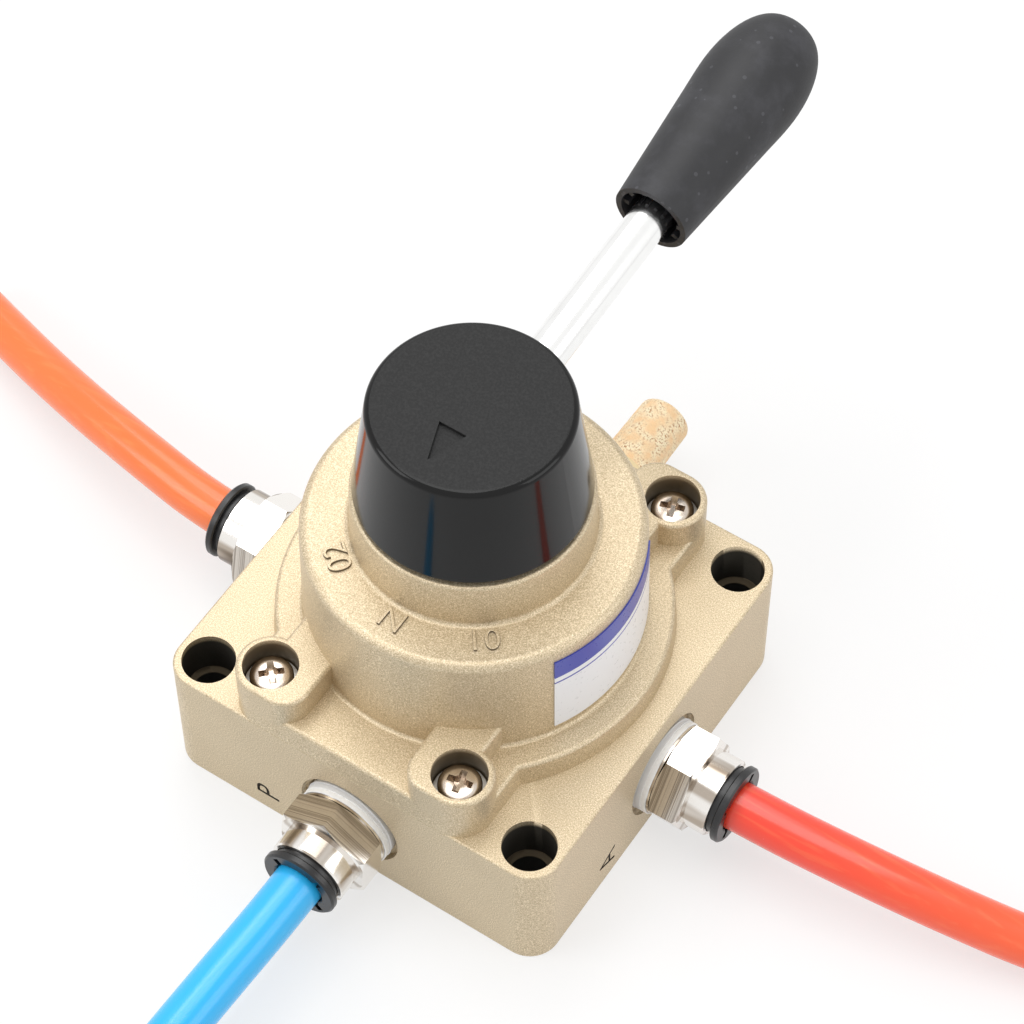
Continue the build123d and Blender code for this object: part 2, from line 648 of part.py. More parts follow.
def air_tube(port):
    """An 8 mm tube from its fitting, as straight runs joined by tangent arcs."""
    points = [Vector(*place) for place in TUBE_ROUTES[port]]
    radii = []
    for before, corner, after in zip(points, points[1:], points[2:]):
        first, second = corner - before, after - corner
        half_turn = math.radians(first.get_angle(second) / 2)
        radii.append(0.45 * min(first.length, second.length) / math.tan(half_turn))
    path = FilletPolyline(*points, radius=radii)
    tube = sweep(Plane(origin=path @ 0, z_dir=path % 0) * Circle(TUBE_D / 2), path)
    section = math.pi * TUBE_D**2 / 4
    print(
        "tube", port, "radii", [round(r, 1) for r in radii], "length", round(path.length, 2),
        "volume ratio", round(tube.volume / (section * path.length), 5),
    )
    return tube


def muffler_base():
    """The hexagon nipple that holds the sintered element."""
    nipple = rod(SPIGOT_D / 2, SPIGOT_START, MUFFLER_HEX_START)
    nipple += hexagon(MUFFLER_HEX_FLATS, MUFFLER_HEX_START, MUFFLER_HEX_END, HEX_CHAMFER)
    nipple += rod(ELEMENT_FOOT_D / 2 + 0.8, MUFFLER_HEX_END - 1, MUFFLER_HEX_END + 0.8)
    nipple -= rod(ELEMENT_BORE_D / 2, PORT_BORE_END, MUFFLER_HEX_END + 2)
    nipple -= rod(ELEMENT_FOOT_D / 2 + RUNNING, ELEMENT_START, MUFFLER_HEX_END + 2)
    return to_port(nipple, "r")


def muffler_element():
    """The sintered bronze cup, slightly tapered, with a rounded end."""
    cup = turned([
        (0, ELEMENT_START),
        (ELEMENT_FOOT_D / 2, ELEMENT_START),
        (ELEMENT_TIP_D / 2, ELEMENT_END),
        (0, ELEMENT_END),
    ])
    cup = fillet(rim_edges(cup, ELEMENT_TIP_D / 2, ELEMENT_END), ELEMENT_EDGE_R)
    cup -= rod(ELEMENT_BORE_D / 2, ELEMENT_START - 1, ELEMENT_END - ELEMENT_END_WALL)
    return to_port(cup, "r")


def label_plate():
    """The thin bare label that follows the cover's drafted wall on the +X side."""
    slope = (CYLINDER_FOOT_R - CYLINDER_TOP_R) / (SHOULDER_Z - FLANGE_TOP)
    low_r = CYLINDER_FOOT_R - slope * (LABEL_BOTTOM_Z - FLANGE_TOP)
    high_r = CYLINDER_FOOT_R - slope * (LABEL_TOP_Z - FLANGE_TOP)
    band = turned([
        (low_r, LABEL_BOTTOM_Z),
        (low_r + LABEL_T, LABEL_BOTTOM_Z),
        (high_r + LABEL_T, LABEL_TOP_Z),
        (high_r, LABEL_TOP_Z),
    ], 2 * LABEL_HALF_ANGLE)
    return Rot(0, 0, -LABEL_HALF_ANGLE) * band


def build():
    """Every separate piece of the valve, by its node name."""
    hub_top = HUB_TOP + RUNNING
    nodes = {
        "base_body": base_body(),
        "port_plate": port_plate(),
        "body_gasket": body_gasket(),
        "cover": cover(),
        "rotor": rotor(),
        "drive_pin": drive_pin(),
        "spindle": spindle(),
        "spindle_oring": oring(SPINDLE_D / 2 - ORING_SECTION / 2, ORING_SECTION, ORING_Z),
        "spindle_bush": ring(SPINDLE_D / 2 + CLOSE, BUSH_D / 2 - RUNNING, CEILING_Z, BUSH_TOP_Z),
        "thrust_washer": ring(
            SPINDLE_D / 2 + LOOSE - 0.02, THRUST_WASHER_D / 2,
            CEILING_Z - THRUST_WASHER_T - CLOSE, CEILING_Z - CLOSE,
        ),
        "disc_spring_1": disc_spring(hub_top, False),
        "disc_spring_2": disc_spring(hub_top + DISC_SPRING_H, True),
        "index_ring": index_ring(),
        "knob": knob(),
        "lever_rod": lever_rod(),
        "lever_grip": lever_grip(),
        "muffler_base": muffler_base(),
        "muffler_element": muffler_element(),
        "label_plate": label_plate(),
    }
    for k, angle in enumerate(DETENT_SIDES, 1):
        nodes[f"detent_ball_{k}"] = Rot(0, 0, angle) * detent_ball()
        nodes[f"detent_spring_{k}"] = Rot(0, 0, angle) * detent_spring()
    for k, (x, y) in enumerate(SCREW_PLACES, 1):
        nodes[f"cover_screw_{k}"] = Pos(x, y) * cover_screw()
        nodes[f"flat_washer_{k}"] = Pos(x, y) * flat_washer()
        nodes[f"spring_washer_{k}"] = Pos(x, y) * spring_washer()
    for port in ("p", "a", "b"):
        nodes[f"fitting_{port}"] = fitting_body(port)
        nodes[f"fitting_seal_{port}"] = fitting_seal(port)
        nodes[f"tube_oring_{port}"] = tube_oring(port)
        nodes[f"claw_ring_{port}"] = claw_ring(port)
        nodes[f"collet_{port}"] = release_collet(port)
        nodes[f"air_tube_{port}"] = air_tube(port)
    return nodes


os.makedirs("parts", exist_ok=True)
for name, shape in build().items():
    export_step(shape, f"parts/{name}.step")
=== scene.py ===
"""Hand lever air valve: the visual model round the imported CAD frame, in metres."""

import logging
import math
from collections.abc import Callable
from dataclasses import dataclass, field
from enum import Enum

import bmesh
import bpy
from bpy.types import Material, Mesh, Node, NodeSocket, NodeTree, Object
from mathutils import Matrix, Vector


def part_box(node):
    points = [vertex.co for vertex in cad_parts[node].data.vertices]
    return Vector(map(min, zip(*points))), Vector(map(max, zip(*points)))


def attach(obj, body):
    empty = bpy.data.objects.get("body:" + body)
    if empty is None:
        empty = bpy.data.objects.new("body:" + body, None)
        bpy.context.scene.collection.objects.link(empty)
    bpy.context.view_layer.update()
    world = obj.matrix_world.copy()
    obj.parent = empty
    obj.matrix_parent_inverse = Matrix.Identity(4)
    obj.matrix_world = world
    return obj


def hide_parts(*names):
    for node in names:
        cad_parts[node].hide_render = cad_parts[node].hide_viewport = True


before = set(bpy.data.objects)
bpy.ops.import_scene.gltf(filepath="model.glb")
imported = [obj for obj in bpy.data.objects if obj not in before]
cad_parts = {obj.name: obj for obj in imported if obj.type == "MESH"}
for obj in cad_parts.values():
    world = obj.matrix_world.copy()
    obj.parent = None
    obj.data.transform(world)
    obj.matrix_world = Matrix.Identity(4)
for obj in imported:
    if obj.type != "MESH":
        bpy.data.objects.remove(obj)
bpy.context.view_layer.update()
MM = 0.001
QUARTER = math.radians(90.0)
CAPITAL_SHARE = 0.729
LOG = logging.getLogger("valve")

Colour = tuple[float, float, float]
Pair = tuple[float, float]
Point = tuple[float, float, float]


class Port(Enum):
    """The side ports, each with the direction that it faces, in degrees about +Z from +X."""

    SUPPLY = ("p", -90.0)
    OUTLET_A = ("a", 0.0)
    OUTLET_B = ("b", 180.0)
    EXHAUST = ("r", 90.0)

    @property
    def key(self) -> str:
        """The lower-case letter that ends the port's node names."""
        return self.value[0]

    @property
    def angle(self) -> float:
        """The direction that the port faces, in radians."""
        return math.radians(self.value[1])


# ---- shader graphs


def math_node(operation: str, swapped: bool = False) -> Callable[..., "Link"]:
    """A method for links that adds one Math node.

    Args:
        operation: The Math node's operation.
        swapped: Whether the link itself comes second.

    Returns:
        The method, which takes the other value where the operation has two.
    """

    def method(self: "Link", *other: "Link | float") -> "Link":
        values = (*other, self) if swapped else (self, *other)
        return self.graph.link("ShaderNodeMath", {"operation": operation}, *values)

    return method


class Link:
    """One output socket in a node tree, with arithmetic that adds Math nodes."""

    __add__ = __radd__ = math_node("ADD")
    __mul__ = __rmul__ = math_node("MULTIPLY")
    __sub__ = math_node("SUBTRACT")
    __rsub__ = math_node("SUBTRACT", swapped=True)
    __gt__ = math_node("GREATER_THAN")
    __lt__ = math_node("LESS_THAN")
    maximum = math_node("MAXIMUM")
    fraction = math_node("FRACT")
    absolute = math_node("ABSOLUTE")
    cosine = math_node("COSINE")
    direction = math_node("ARCTAN2")

    def __init__(self, graph: "Nodes", socket: NodeSocket) -> None:
        """Wrap a socket."""
        self.graph = graph
        self.socket = socket

    def smooth(self, low: float, high: float) -> "Link":
        """0 below low, 1 above high, and a smooth step between.

        Args:
            low: Where the step starts.
            high: Where the step ends.

        Returns:
            The stepped value.
        """
        settings = {"interpolation_type": "SMOOTHSTEP"}
        return self.graph.link("ShaderNodeMapRange", settings, self, low, high, 0.0, 1.0)


class Nodes:
    """A node tree, with one call for every kind of node."""

    def __init__(self, tree: NodeTree) -> None:
        """Wrap a tree."""
        self.tree = tree

    def node(
        self, kind: str, settings: dict | None = None, *values: object, **named: object
    ) -> Node:
        """Add a node.

        Args:
            kind: The node's type.
            settings: Its settings, made before any input is set.
            values: Values, sockets or links for its inputs, by order.
            named: The same, by name with underscores for spaces.

        Returns:
            The new node.
        """
        added = self.tree.nodes.new(kind)
        for key, value in (settings or {}).items():
            setattr(added, key, value)
        for key, value in (*enumerate(values), *((k.replace("_", " "), v) for k, v in named.items())):
            self.feed(added.inputs[key], value)
        return added

    def link(self, kind: str, settings: dict | None = None, *values: object, **named: object) -> Link:
        """Add a node and take its first output."""
        return Link(self, self.node(kind, settings, *values, **named).outputs[0])

    def feed(self, socket: NodeSocket, value: object) -> None:
        """Give an input a link, a socket, a colour or a plain value."""
        if isinstance(value, Link):
            value = value.socket
        if isinstance(value, NodeSocket):
            self.tree.links.new(value, socket)
        elif isinstance(value, tuple) and len(value) == 3 and socket.type == "RGBA":
            socket.default_value = (*value, 1.0)
        else:
            socket.default_value = value


class Graph(Nodes):
    """A material's node tree round a principled shader."""

    def __init__(self, name: str) -> None:
        """Start a material.

        Args:
            name: The material's name.
        """
        self.material = bpy.data.materials.new(name)
        self.material.use_nodes = True
        super().__init__(self.material.node_tree)
        self.tree.nodes.clear()
        output = self.tree.nodes.new("ShaderNodeOutputMaterial")
        self.shader = self.tree.nodes.new("ShaderNodeBsdfPrincipled")
        self.tree.links.new(self.shader.outputs[0], output.inputs[0])

    def place(self) -> Link:
        """The point on the piece, in its own metres."""
        return Link(self, self.node("ShaderNodeTexCoord").outputs["Object"])

    def vector(self, *axes: Link | float) -> Link:
        """A vector from three coordinates."""
        return self.link("ShaderNodeCombineXYZ", None, *axes)

    def axes(self, place: Link) -> tuple[Link, Link, Link]:
        """The three coordinates of a point."""
        parts = self.node("ShaderNodeSeparateXYZ", None, place)
        return tuple(Link(self, s) for s in parts.outputs)

    def noise(self, place: Link, scale: float, detail: float = 2.0, rough: float = 0.5) -> Link:
        """Cloudy noise from 0 to 1 at so many cells a metre."""
        return self.link("ShaderNodeTexNoise", None, place, Scale=scale, Detail=detail, Roughness=rough)

    def cells(self, place: Link, scale: float) -> Link:
        """Distance to the nearest of scattered points, at so many cells a metre."""
        return self.link("ShaderNodeTexVoronoi", None, place, Scale=scale)

    def ramp(self, value: Link, *stops: tuple[float, Colour]) -> Link:
        """A colour ramp over a value."""
        node = self.node("ShaderNodeValToRGB", None, value)
        marks = node.color_ramp.elements
        for k, (place, tone) in enumerate(stops):
            mark = marks[k] if k < 2 else marks.new(place)
            mark.position = place
            mark.color = (*tone, 1.0)
        return Link(self, node.outputs[0])

    def mix(self, share: "Link | float", first: object, second: object) -> Link:
        """A colour between two, by share."""
        node = self.node("ShaderNodeMix", {"data_type": "RGBA"}, share)
        self.feed(node.inputs[6], first)
        self.feed(node.inputs[7], second)
        return Link(self, node.outputs[2])

    def bump(self, height: Link, depth: float, strength: float, under: Link | None = None) -> Link:
        """A bumped normal, for a height of 0 to 1 and a depth in metres."""
        node = self.node("ShaderNodeBump", None, Strength=strength, Distance=depth, Height=height)
        if under is not None:
            self.feed(node.inputs["Normal"], under)
        return Link(self, node.outputs[0])

    def finish(self, **values: object) -> Material:
        """Set the principled shader's inputs.

        Args:
            values: Values or links, by input name with underscores for spaces.

        Returns:
            The material.
        """
        for key, value in values.items():
            self.feed(self.shader.inputs[key.replace("_", " ")], value)
        return self.material


# ---- finishes


@dataclass(frozen=True)
class MetallicPaint:
    """Champagne metallic paint with a fine sparkle, with painted shade down the casting's bores and in the
    screw wells.
    """

    base: Colour = (0.61, 0.495, 0.325)
    dark: Colour = (0.40, 0.31, 0.19)
    bright: Colour = (0.92, 0.81, 0.62)
    bore_tone: Colour = (0.016, 0.013, 0.008)
    bore_floor_tone: Colour = (0.13, 0.10, 0.06)
    well_tone: Colour = (0.17, 0.125, 0.07)
    grain: float = 5200.0
    bores: Point = (29.6 * MM, 4.3 * MM, 24.4 * MM)
    wells: Point = (17.2 * MM, 4.4 * MM, 34.3 * MM)
    row: float = 29.6 * MM
    bore_floor: Pair = (15.8 * MM, 16.2 * MM)
    mouth: float = 1.2 * MM
    peel: float = 900.0
    relief: float = 0.03 * MM
    roughness: float = 0.44
    bore_roughness: float = 0.4
    metal: float = 0.55
    gloss: float = 0.12

    def inside(self, g: Graph, place: Link, holes: Point) -> Link:
        """1 inside four upright holes that mirror each other, and below their mouths, else 0.

        Args:
            g: The material's graph.
            place: The point on the piece.
            holes: Their distance aside, a little more than their radius, and their mouths' height.

        Returns:
            The mask.
        """
        x, y, z = g.axes(place)
        aside, radius, top = holes
        across, along = x.absolute() - aside, y.absolute() - self.row
        near = (across * across + along * along) < radius * radius
        return near * (1.0 - z.smooth(top - self.mouth, top))

    def material(self, name: str) -> Material:
        """Build the material."""
        g = Graph(name)
        place = g.place()
        fleck = g.noise(place, self.grain, 2.0, 0.6)
        cloud = g.noise(place, 120.0, 3.0)
        tone = g.ramp(fleck, (0.30, self.dark), (0.50, self.base), (0.72, self.bright))
        colour = g.mix(cloud.smooth(0.35, 0.75) * 0.12, tone, self.dark)
        # painted shade: the mount bores go near black below their mouths with a lighter ring at the step,
        # and the screw wells go dark brown
        bores = self.inside(g, place, self.bores)
        wells = self.inside(g, place, self.wells)
        height = g.axes(place)[2]
        floors = (height > self.bore_floor[0]) * (height < self.bore_floor[1])
        bore = g.mix(floors, self.bore_tone, self.bore_floor_tone)
        colour = g.mix(bores, g.mix(wells, colour, self.well_tone), bore)
        grain = g.bump(fleck, self.relief, 0.35)
        orange_peel = g.bump(g.noise(place, self.peel, 1.0), self.relief, 0.3, grain)
        outside = 1.0 - bores
        rough = fleck.smooth(0.3, 0.7) * 0.10 + self.roughness + bores * self.bore_roughness
        return g.finish(
            Base_Color=colour, Metallic=outside * self.metal, Roughness=rough, Normal=orange_peel,
            Coat_Weight=outside * self.gloss, Coat_Roughness=0.3,
        )


@dataclass(frozen=True)
class BareMetal:
    """Plated, turned or polished metal with fine machining marks along one axis, and darker blotches that
    are partly smudges and partly painted reflection.
    """

    tone: Colour
    roughness: float
    lines: float = 0.0
    along: float = 0.0
    smudge: float = 0.1
    shade: Colour = (0.45, 0.43, 0.40)
    stretch: float = 0.06
    relief: float = 0.03 * MM

    def material(self, name: str) -> Material:
        """Build the material."""
        g = Graph(name)
        place = g.place()
        cloud = g.noise(place, 260.0, 3.0, 0.55)
        # blotches of the darker tone: partly smudges, partly painted reflection
        share = cloud.smooth(0.35, 0.8) * self.smudge
        values: dict[str, object] = {}
        if self.lines:
            stretch = g.node("ShaderNodeMapping", {"vector_type": "POINT"}, place)
            stretch.inputs["Rotation"].default_value = (0.0, 0.0, -self.along)
            across = self.lines * self.stretch
            stretch.inputs["Scale"].default_value = (self.lines, across, across)
            marks = g.noise(Link(g, stretch.outputs[0]), 1.0, 2.0)
            values["Normal"] = g.bump(marks, self.relief, 0.4)
            share = share + marks.smooth(0.45, 0.75) * self.smudge
        colour = g.mix(share, self.tone, self.shade)
        rough = cloud * 0.1 + self.roughness
        return g.finish(Base_Color=colour, Metallic=1.0, Roughness=rough, **values)


@dataclass(frozen=True)
class NickelPlate:
    """Bright nickel over brass: painted reflection in dark bands on the turned part, and one tone with
    drawn lines on each flat, darker by painted shade towards the shaded side.
    """

    port: Port
    flat: float
    shaded: float
    axis_height: float = 11.8 * MM
    tone: Colour = (0.88, 0.85, 0.81)
    band: Colour = (0.36, 0.29, 0.22)
    dark: Colour = (0.10, 0.07, 0.045)
    drawn: Colour = (0.52, 0.47, 0.41)
    hexagon: Pair = (37.2 * MM, 42.2 * MM)
    flat_angle: float = math.pi / 3.0
    pitch: float = 0.24 * MM

    def turned_part(self, g: Graph, x: Link, about: Link) -> Link:
        """The tone of the turned surfaces, with painted reflection in broken bands along the axis."""
        sweep = g.noise(g.vector(about * 1.6, x * 25.0, self.port.angle * 2.0 + 3.0), 1.0, 1.0)
        colour = g.mix(sweep.smooth(0.46, 0.56) * 0.8, self.tone, self.band)
        return g.mix(sweep.smooth(0.58, 0.66) * 0.85, colour, self.dark)

    def flats(self, g: Graph, about: Link, marks: Link) -> Link:
        """The tone of the hexagon's flats, with painted shade: darker and more lined towards the shaded
        side.
        """
        number = (about - math.radians(self.flat)) * (1.0 / self.flat_angle) + 0.5
        middle = (number - number.fraction()) * self.flat_angle + math.radians(self.flat - self.shaded)
        share = middle.cosine().smooth(0.4, 0.95)
        colour = g.mix(share * 0.75, self.tone, self.drawn)
        return g.mix(marks.smooth(0.42, 0.62) * share * 0.55, colour, self.dark)

    def material(self, name: str) -> Material:
        """Build the material."""
        g = Graph(name)
        settings = {"rotation_type": "Z_AXIS"}
        turned = g.link("ShaderNodeVectorRotate", settings, g.place(), Angle=-self.port.angle)
        x, y, z = g.axes(turned)
        about = (z - self.axis_height).direction(y)
        marks = g.noise(g.vector(x * (1.0 / self.pitch), y * 15.0, z * 15.0), 1.0, 2.0)
        on_hexagon = (x > self.hexagon[0]) * (x < self.hexagon[1])
        # painted reflection on the turned part, painted shade on the flats
        colour = g.mix(on_hexagon, self.turned_part(g, x, about), self.flats(g, about, marks))
        normal = g.bump(marks * on_hexagon, 0.02 * MM, 0.35)
        return g.finish(Base_Color=colour, Metallic=1.0, Roughness=marks * 0.08 + 0.10, Normal=normal)


@dataclass(frozen=True)
class GrainedPlastic:
    """Moulded plastic: glossy at the sides and finely grained where it faces up."""

    tone: Colour = (0.005, 0.005, 0.005)
    pale: Colour = (0.030, 0.030, 0.030)
    side_roughness: float = 0.09
    top_roughness: float = 0.55
    grain: float = 2600.0
    pit_depth: float = 0.06 * MM
    top_height: float = 79.85 * MM
    rim_radius: float = 14.4 * MM

    def material(self, name: str) -> Material:
        """Build the material."""
        g = Graph(name)
        place = g.place()
        x, y, z = g.axes(place)
        flat = z.smooth(self.top_height - 1.6 * MM, self.top_height - 1.2 * MM)
        length = g.node("ShaderNodeVectorMath", {"operation": "LENGTH"}, g.vector(x, y, 0.0))
        radius = Link(g, length.outputs["Value"])
        within = 1.0 - radius.smooth(self.rim_radius, self.rim_radius + 0.5 * MM)
        top = flat * within
        pits = g.noise(place, self.grain, 3.0, 0.6)
        colour = g.mix(top * (pits.smooth(0.35, 0.7) * 0.45 + 0.35), self.tone, self.pale)
        rough = top * (self.top_roughness - self.side_roughness) + self.side_roughness + pits * 0.04
        fine = g.bump(g.noise(place, 500.0, 2.0), 0.02 * MM, 0.15)
        normal = g.bump(top * pits.smooth(0.3, 0.7), self.pit_depth, 0.6, fine)
        return g.finish(Base_Color=colour, Roughness=rough, Normal=normal, Specular_IOR_Level=0.24)


@dataclass(frozen=True)
class Rubber:
    """Matt rubber with faint bloom and tiny specks."""

    tone: Colour = (0.014, 0.014, 0.016)
    bloom: Colour = (0.075, 0.075, 0.085)
    roughness: float = 0.5

    def material(self, name: str) -> Material:
        """Build the material."""
        g = Graph(name)
        place = g.place()
        cloud = g.noise(place, 160.0, 4.0, 0.6)
        speck = g.cells(place, 420.0) < 0.14
        colour = g.mix(cloud.smooth(0.42, 0.8) * 0.45 + speck * 0.5, self.tone, self.bloom)
        fine = g.noise(place, 3200.0, 2.0)
        normal = g.bump(fine, 0.04 * MM, 0.45)
        return g.finish(Base_Color=colour, Roughness=cloud * 0.16 + self.roughness, Normal=normal)


@dataclass(frozen=True)
class PlainPlastic:
    """Even plastic, sealant or film with a slight cloud in its gloss."""

    tone: Colour
    roughness: float = 0.4
    grain: float = 1200.0
    depth: float = 0.02 * MM

    def material(self, name: str) -> Material:
        """Build the material."""
        g = Graph(name)
        place = g.place()
        fine = g.noise(place, self.grain, 3.0)
        shade = tuple(0.82 * c for c in self.tone)
        colour = g.mix(fine.smooth(0.4, 0.8) * 0.35, self.tone, shade)
        normal = g.bump(fine, self.depth, 0.4)
        return g.finish(Base_Color=colour, Roughness=fine * 0.12 + (self.roughness - 0.06), Normal=normal)


@dataclass(frozen=True)
class TubePlastic:
    """Glossy coloured tube whose tone changes slowly from its fitting outwards, with painted highlights in
    pale streaks along it.
    """

    near: Colour
    far: Colour
    pale: Colour
    streaks: Point = (40.0, 900.0, 900.0)
    turn_of_tone: Pair = (48.0 * MM, 108.0 * MM)

    def material(self, name: str) -> Material:
        """Build the material."""
        g = Graph(name)
        place = g.place()
        out = g.axes(place)[0].smooth(*self.turn_of_tone)
        tone = g.mix(out, self.near, self.far)
        # painted highlights: pale streaks drawn out along the tube
        stretched = g.link("ShaderNodeVectorMath", {"operation": "MULTIPLY"}, place, self.streaks)
        highlight_streak = g.noise(stretched, 1.0, 2.0)
        colour = g.mix(highlight_streak.smooth(0.5, 0.75) * 0.35, tone, self.pale)
        scuffs = g.noise(place, 1400.0, 3.0)
        normal = g.bump(scuffs, 0.01 * MM, 0.2)
        return g.finish(
            Base_Color=colour, Roughness=scuffs * 0.1 + 0.2, Normal=normal,
            Coat_Weight=0.25, Coat_Roughness=0.12,
        )


@dataclass(frozen=True)
class SinteredBronze:
    """Sintered bronze beads: pale grains with dark pores between them."""

    tone: Colour = (0.93, 0.64, 0.36)
    pore: Colour = (0.50, 0.25, 0.10)
    pale: Colour = (0.99, 0.87, 0.62)
    beads: float = 3200.0

    def material(self, name: str) -> Material:
        """Build the material."""
        g = Graph(name)
        place = g.place()
        bead = g.cells(place, self.beads)
        cloud = g.noise(place, 500.0, 3.0)
        pores = bead.smooth(0.5, 0.85) * cloud.smooth(0.35, 0.65)
        body = g.mix(cloud.smooth(0.3, 0.7), self.tone, self.pale)
        colour = g.mix(pores, body, self.pore)
        normal = g.bump(1.0 - bead, 0.18 * MM, 0.7)
        return g.finish(Base_Color=colour, Metallic=0.1, Roughness=0.62, Normal=normal)


@dataclass(frozen=True)
class LabelFilm:
    """A bare printed film: a blue band along the top, a thin rule and an empty pale field."""

    top: float
    field_tone: Colour = (0.88, 0.89, 0.91)
    band_tone: Colour = (0.05, 0.07, 0.42)
    band: float = 4.15 * MM
    rule_gap: float = 1.1 * MM
    rule: float = 0.35 * MM

    def material(self, name: str) -> Material:
        """Build the material."""
        g = Graph(name)
        place = g.place()
        height = g.axes(place)[2]
        band = height > self.top - self.band
        rule_top = self.top - self.band - self.rule_gap
        rule = (height < rule_top) * (height > rule_top - self.rule)
        colour = g.mix(band, g.mix(rule, self.field_tone, self.band_tone), self.band_tone)
        fine = g.noise(place, 1500.0, 2.0)
        return g.finish(Base_Color=colour, Roughness=fine * 0.1 + 0.24, Normal=g.bump(fine, 0.01 * MM, 0.2))


class Finish(Enum):
    """Every finish on the valve."""

    PAINT = MetallicPaint()
    ZINC = BareMetal((0.66, 0.65, 0.62), 0.24, smudge=0.5, shade=(0.22, 0.20, 0.18))
    # painted reflection: the brownish tone and the heavy dark brown blotches stand for the housing seen in
    # the plated heads
    SCREW = BareMetal((0.66, 0.58, 0.50), 0.16, smudge=0.75, shade=(0.22, 0.15, 0.10))
    MARK_EDGE = PlainPlastic((0.16, 0.12, 0.07), 0.6)
    POLISHED = BareMetal((0.93, 0.93, 0.92), 0.10, smudge=0.1)
    NICKEL_P = NickelPlate(Port.SUPPLY, 57.0, 87.0)
    NICKEL_A = NickelPlate(Port.OUTLET_A, 25.0, 145.0)
    NICKEL_B = NickelPlate(Port.OUTLET_B, 12.0, 12.0)
    BRASS = BareMetal((0.78, 0.62, 0.36), 0.26, lines=5000.0, along=Port.EXHAUST.angle)
    BRONZE = SinteredBronze()
    KNOB = GrainedPlastic()
    COLLET = PlainPlastic((0.012, 0.012, 0.013), 0.3)
    SEAT = PlainPlastic((0.80, 0.78, 0.72), 0.35)
    GRIP = Rubber()
    SEAL = Rubber(roughness=0.6)
    SEALANT = PlainPlastic((0.93, 0.93, 0.92), 0.5, 1500.0, 0.04 * MM)
    BLUE_TUBE = TubePlastic(
        (0.025, 0.49, 0.96), (0.025, 0.49, 0.96), (0.08, 0.60, 0.98), streaks=(900.0, 40.0, 900.0)
    )
    RED_TUBE = TubePlastic((0.96, 0.06, 0.03), (0.97, 0.13, 0.04), (0.98, 0.21, 0.08))
    ORANGE_TUBE = TubePlastic((0.97, 0.20, 0.045), (0.97, 0.20, 0.045), (0.98, 0.31, 0.09))
    INK = PlainPlastic((0.05, 0.04, 0.03), 0.7)


class Finishes:
    """Makes each finish's material once."""

    def __init__(self) -> None:
        """Start with none made."""
        self.made: dict[str, Material] = {}

    def get(self, finish: Finish) -> Material:
        """The material of a finish.

        Args:
            finish: Which finish.

        Returns:
            Its material, made on first use.
        """
        if finish.name not in self.made:
            self.made[finish.name] = finish.value.material(finish.name.lower())
        return self.made[finish.name]

    def dress(self, node: str, finish: Finish) -> None:
        """Give a CAD node's object a finish."""
        self.cover(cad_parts[node], self.get(finish))
        LOG.info("dressed %s in %s", node, finish.name.lower())

    @staticmethod
    def cover(piece: Object, material: Material) -> None:
        """Make a material the only one on an object."""
        piece.data.materials.clear()
        piece.data.materials.append(material)


FINISHES = Finishes()


# ---- mesh helpers


def working(data: bpy.types.ID, name: str = "working") -> Object:
    """Link an object for some data."""
    piece = bpy.data.objects.new(name, data)
    bpy.context.scene.collection.objects.link(piece)
    return piece


def add_piece(mesh: Mesh, name: str, slot: str, *stands_for: str) -> Object:
    """Put a mesh, with its materials, on the valve's fixed body.

    Args:
        mesh: The finished mesh, placed in the frame's own metres.
        name: The piece's name.
        slot: The record's material slot; not used.
        stands_for: The CAD nodes that it replaces.

    Returns:
        The new piece.
    """
    mesh.name = name
    piece = working(mesh, name)
    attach(piece, "valve")
    if stands_for:
        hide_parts(*stands_for)
    LOG.info("made %s, %d faces", name, len(mesh.polygons))
    return piece


def made(form: bmesh.types.BMesh, name: str) -> Mesh:
    """The mesh of a bmesh, which this uses up."""
    mesh = bpy.data.meshes.new(name)
    form.to_mesh(mesh)
    form.free()
    return mesh


def lathe(profile: list[Pair], steps: int) -> Mesh:
    """Turn an open outline about +Z.

    Args:
        profile: (radius, height) points, in metres, from the axis or a free edge to another.
        steps: Facets round the axis.

    Returns:
        A mesh with poles closed and faces pointing outwards.
    """
    form = bmesh.new()
    rows = []
    for radius, height in profile:
        turn = [2 * math.pi * k / steps for k in range(steps)]
        rows.append([form.verts.new((radius * math.cos(a), radius * math.sin(a), height)) for a in turn])
    for low, high in zip(rows, rows[1:]):
        for k in range(steps):
            form.faces.new((low[k], low[(k + 1) % steps], high[(k + 1) % steps], high[k]))
    bmesh.ops.remove_doubles(form, verts=form.verts, dist=1e-7)
    bmesh.ops.recalc_face_normals(form, faces=form.faces)
    mesh = made(form, "lathe")
    mesh.shade_smooth()
    return mesh


def merged_copy(node: str) -> Mesh:
    """A CAD node's mesh with its loose triangles joined and its flat faces made whole."""
    form = bmesh.new()
    form.from_mesh(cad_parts[node].data)
    bmesh.ops.remove_doubles(form, verts=form.verts, dist=2e-6)
    bmesh.ops.dissolve_limit(form, angle_limit=math.radians(0.2), verts=form.verts, edges=form.edges)
    return made(form, node)


def settle(piece: Object) -> Mesh:
    """The plain mesh that an object's modifiers give, with the object removed.

    Args:
        piece: A working object, not yet on the frame.

    Returns:
        Its evaluated mesh.
    """
    graph = bpy.context.evaluated_depsgraph_get()
    graph.update()
    mesh = bpy.data.meshes.new_from_object(piece.evaluated_get(graph), depsgraph=graph)
    old = piece.data
    bpy.data.objects.remove(piece)
    if isinstance(old, Mesh):
        bpy.data.meshes.remove(old)
    return mesh


def crease_shading(mesh: Mesh, angle: float = 35.0) -> Mesh:
    """Shade a mesh smooth, with edges over an angle left sharp."""
    mesh.shade_smooth()
    mesh.set_sharp_from_angle(angle=math.radians(angle))
    return mesh


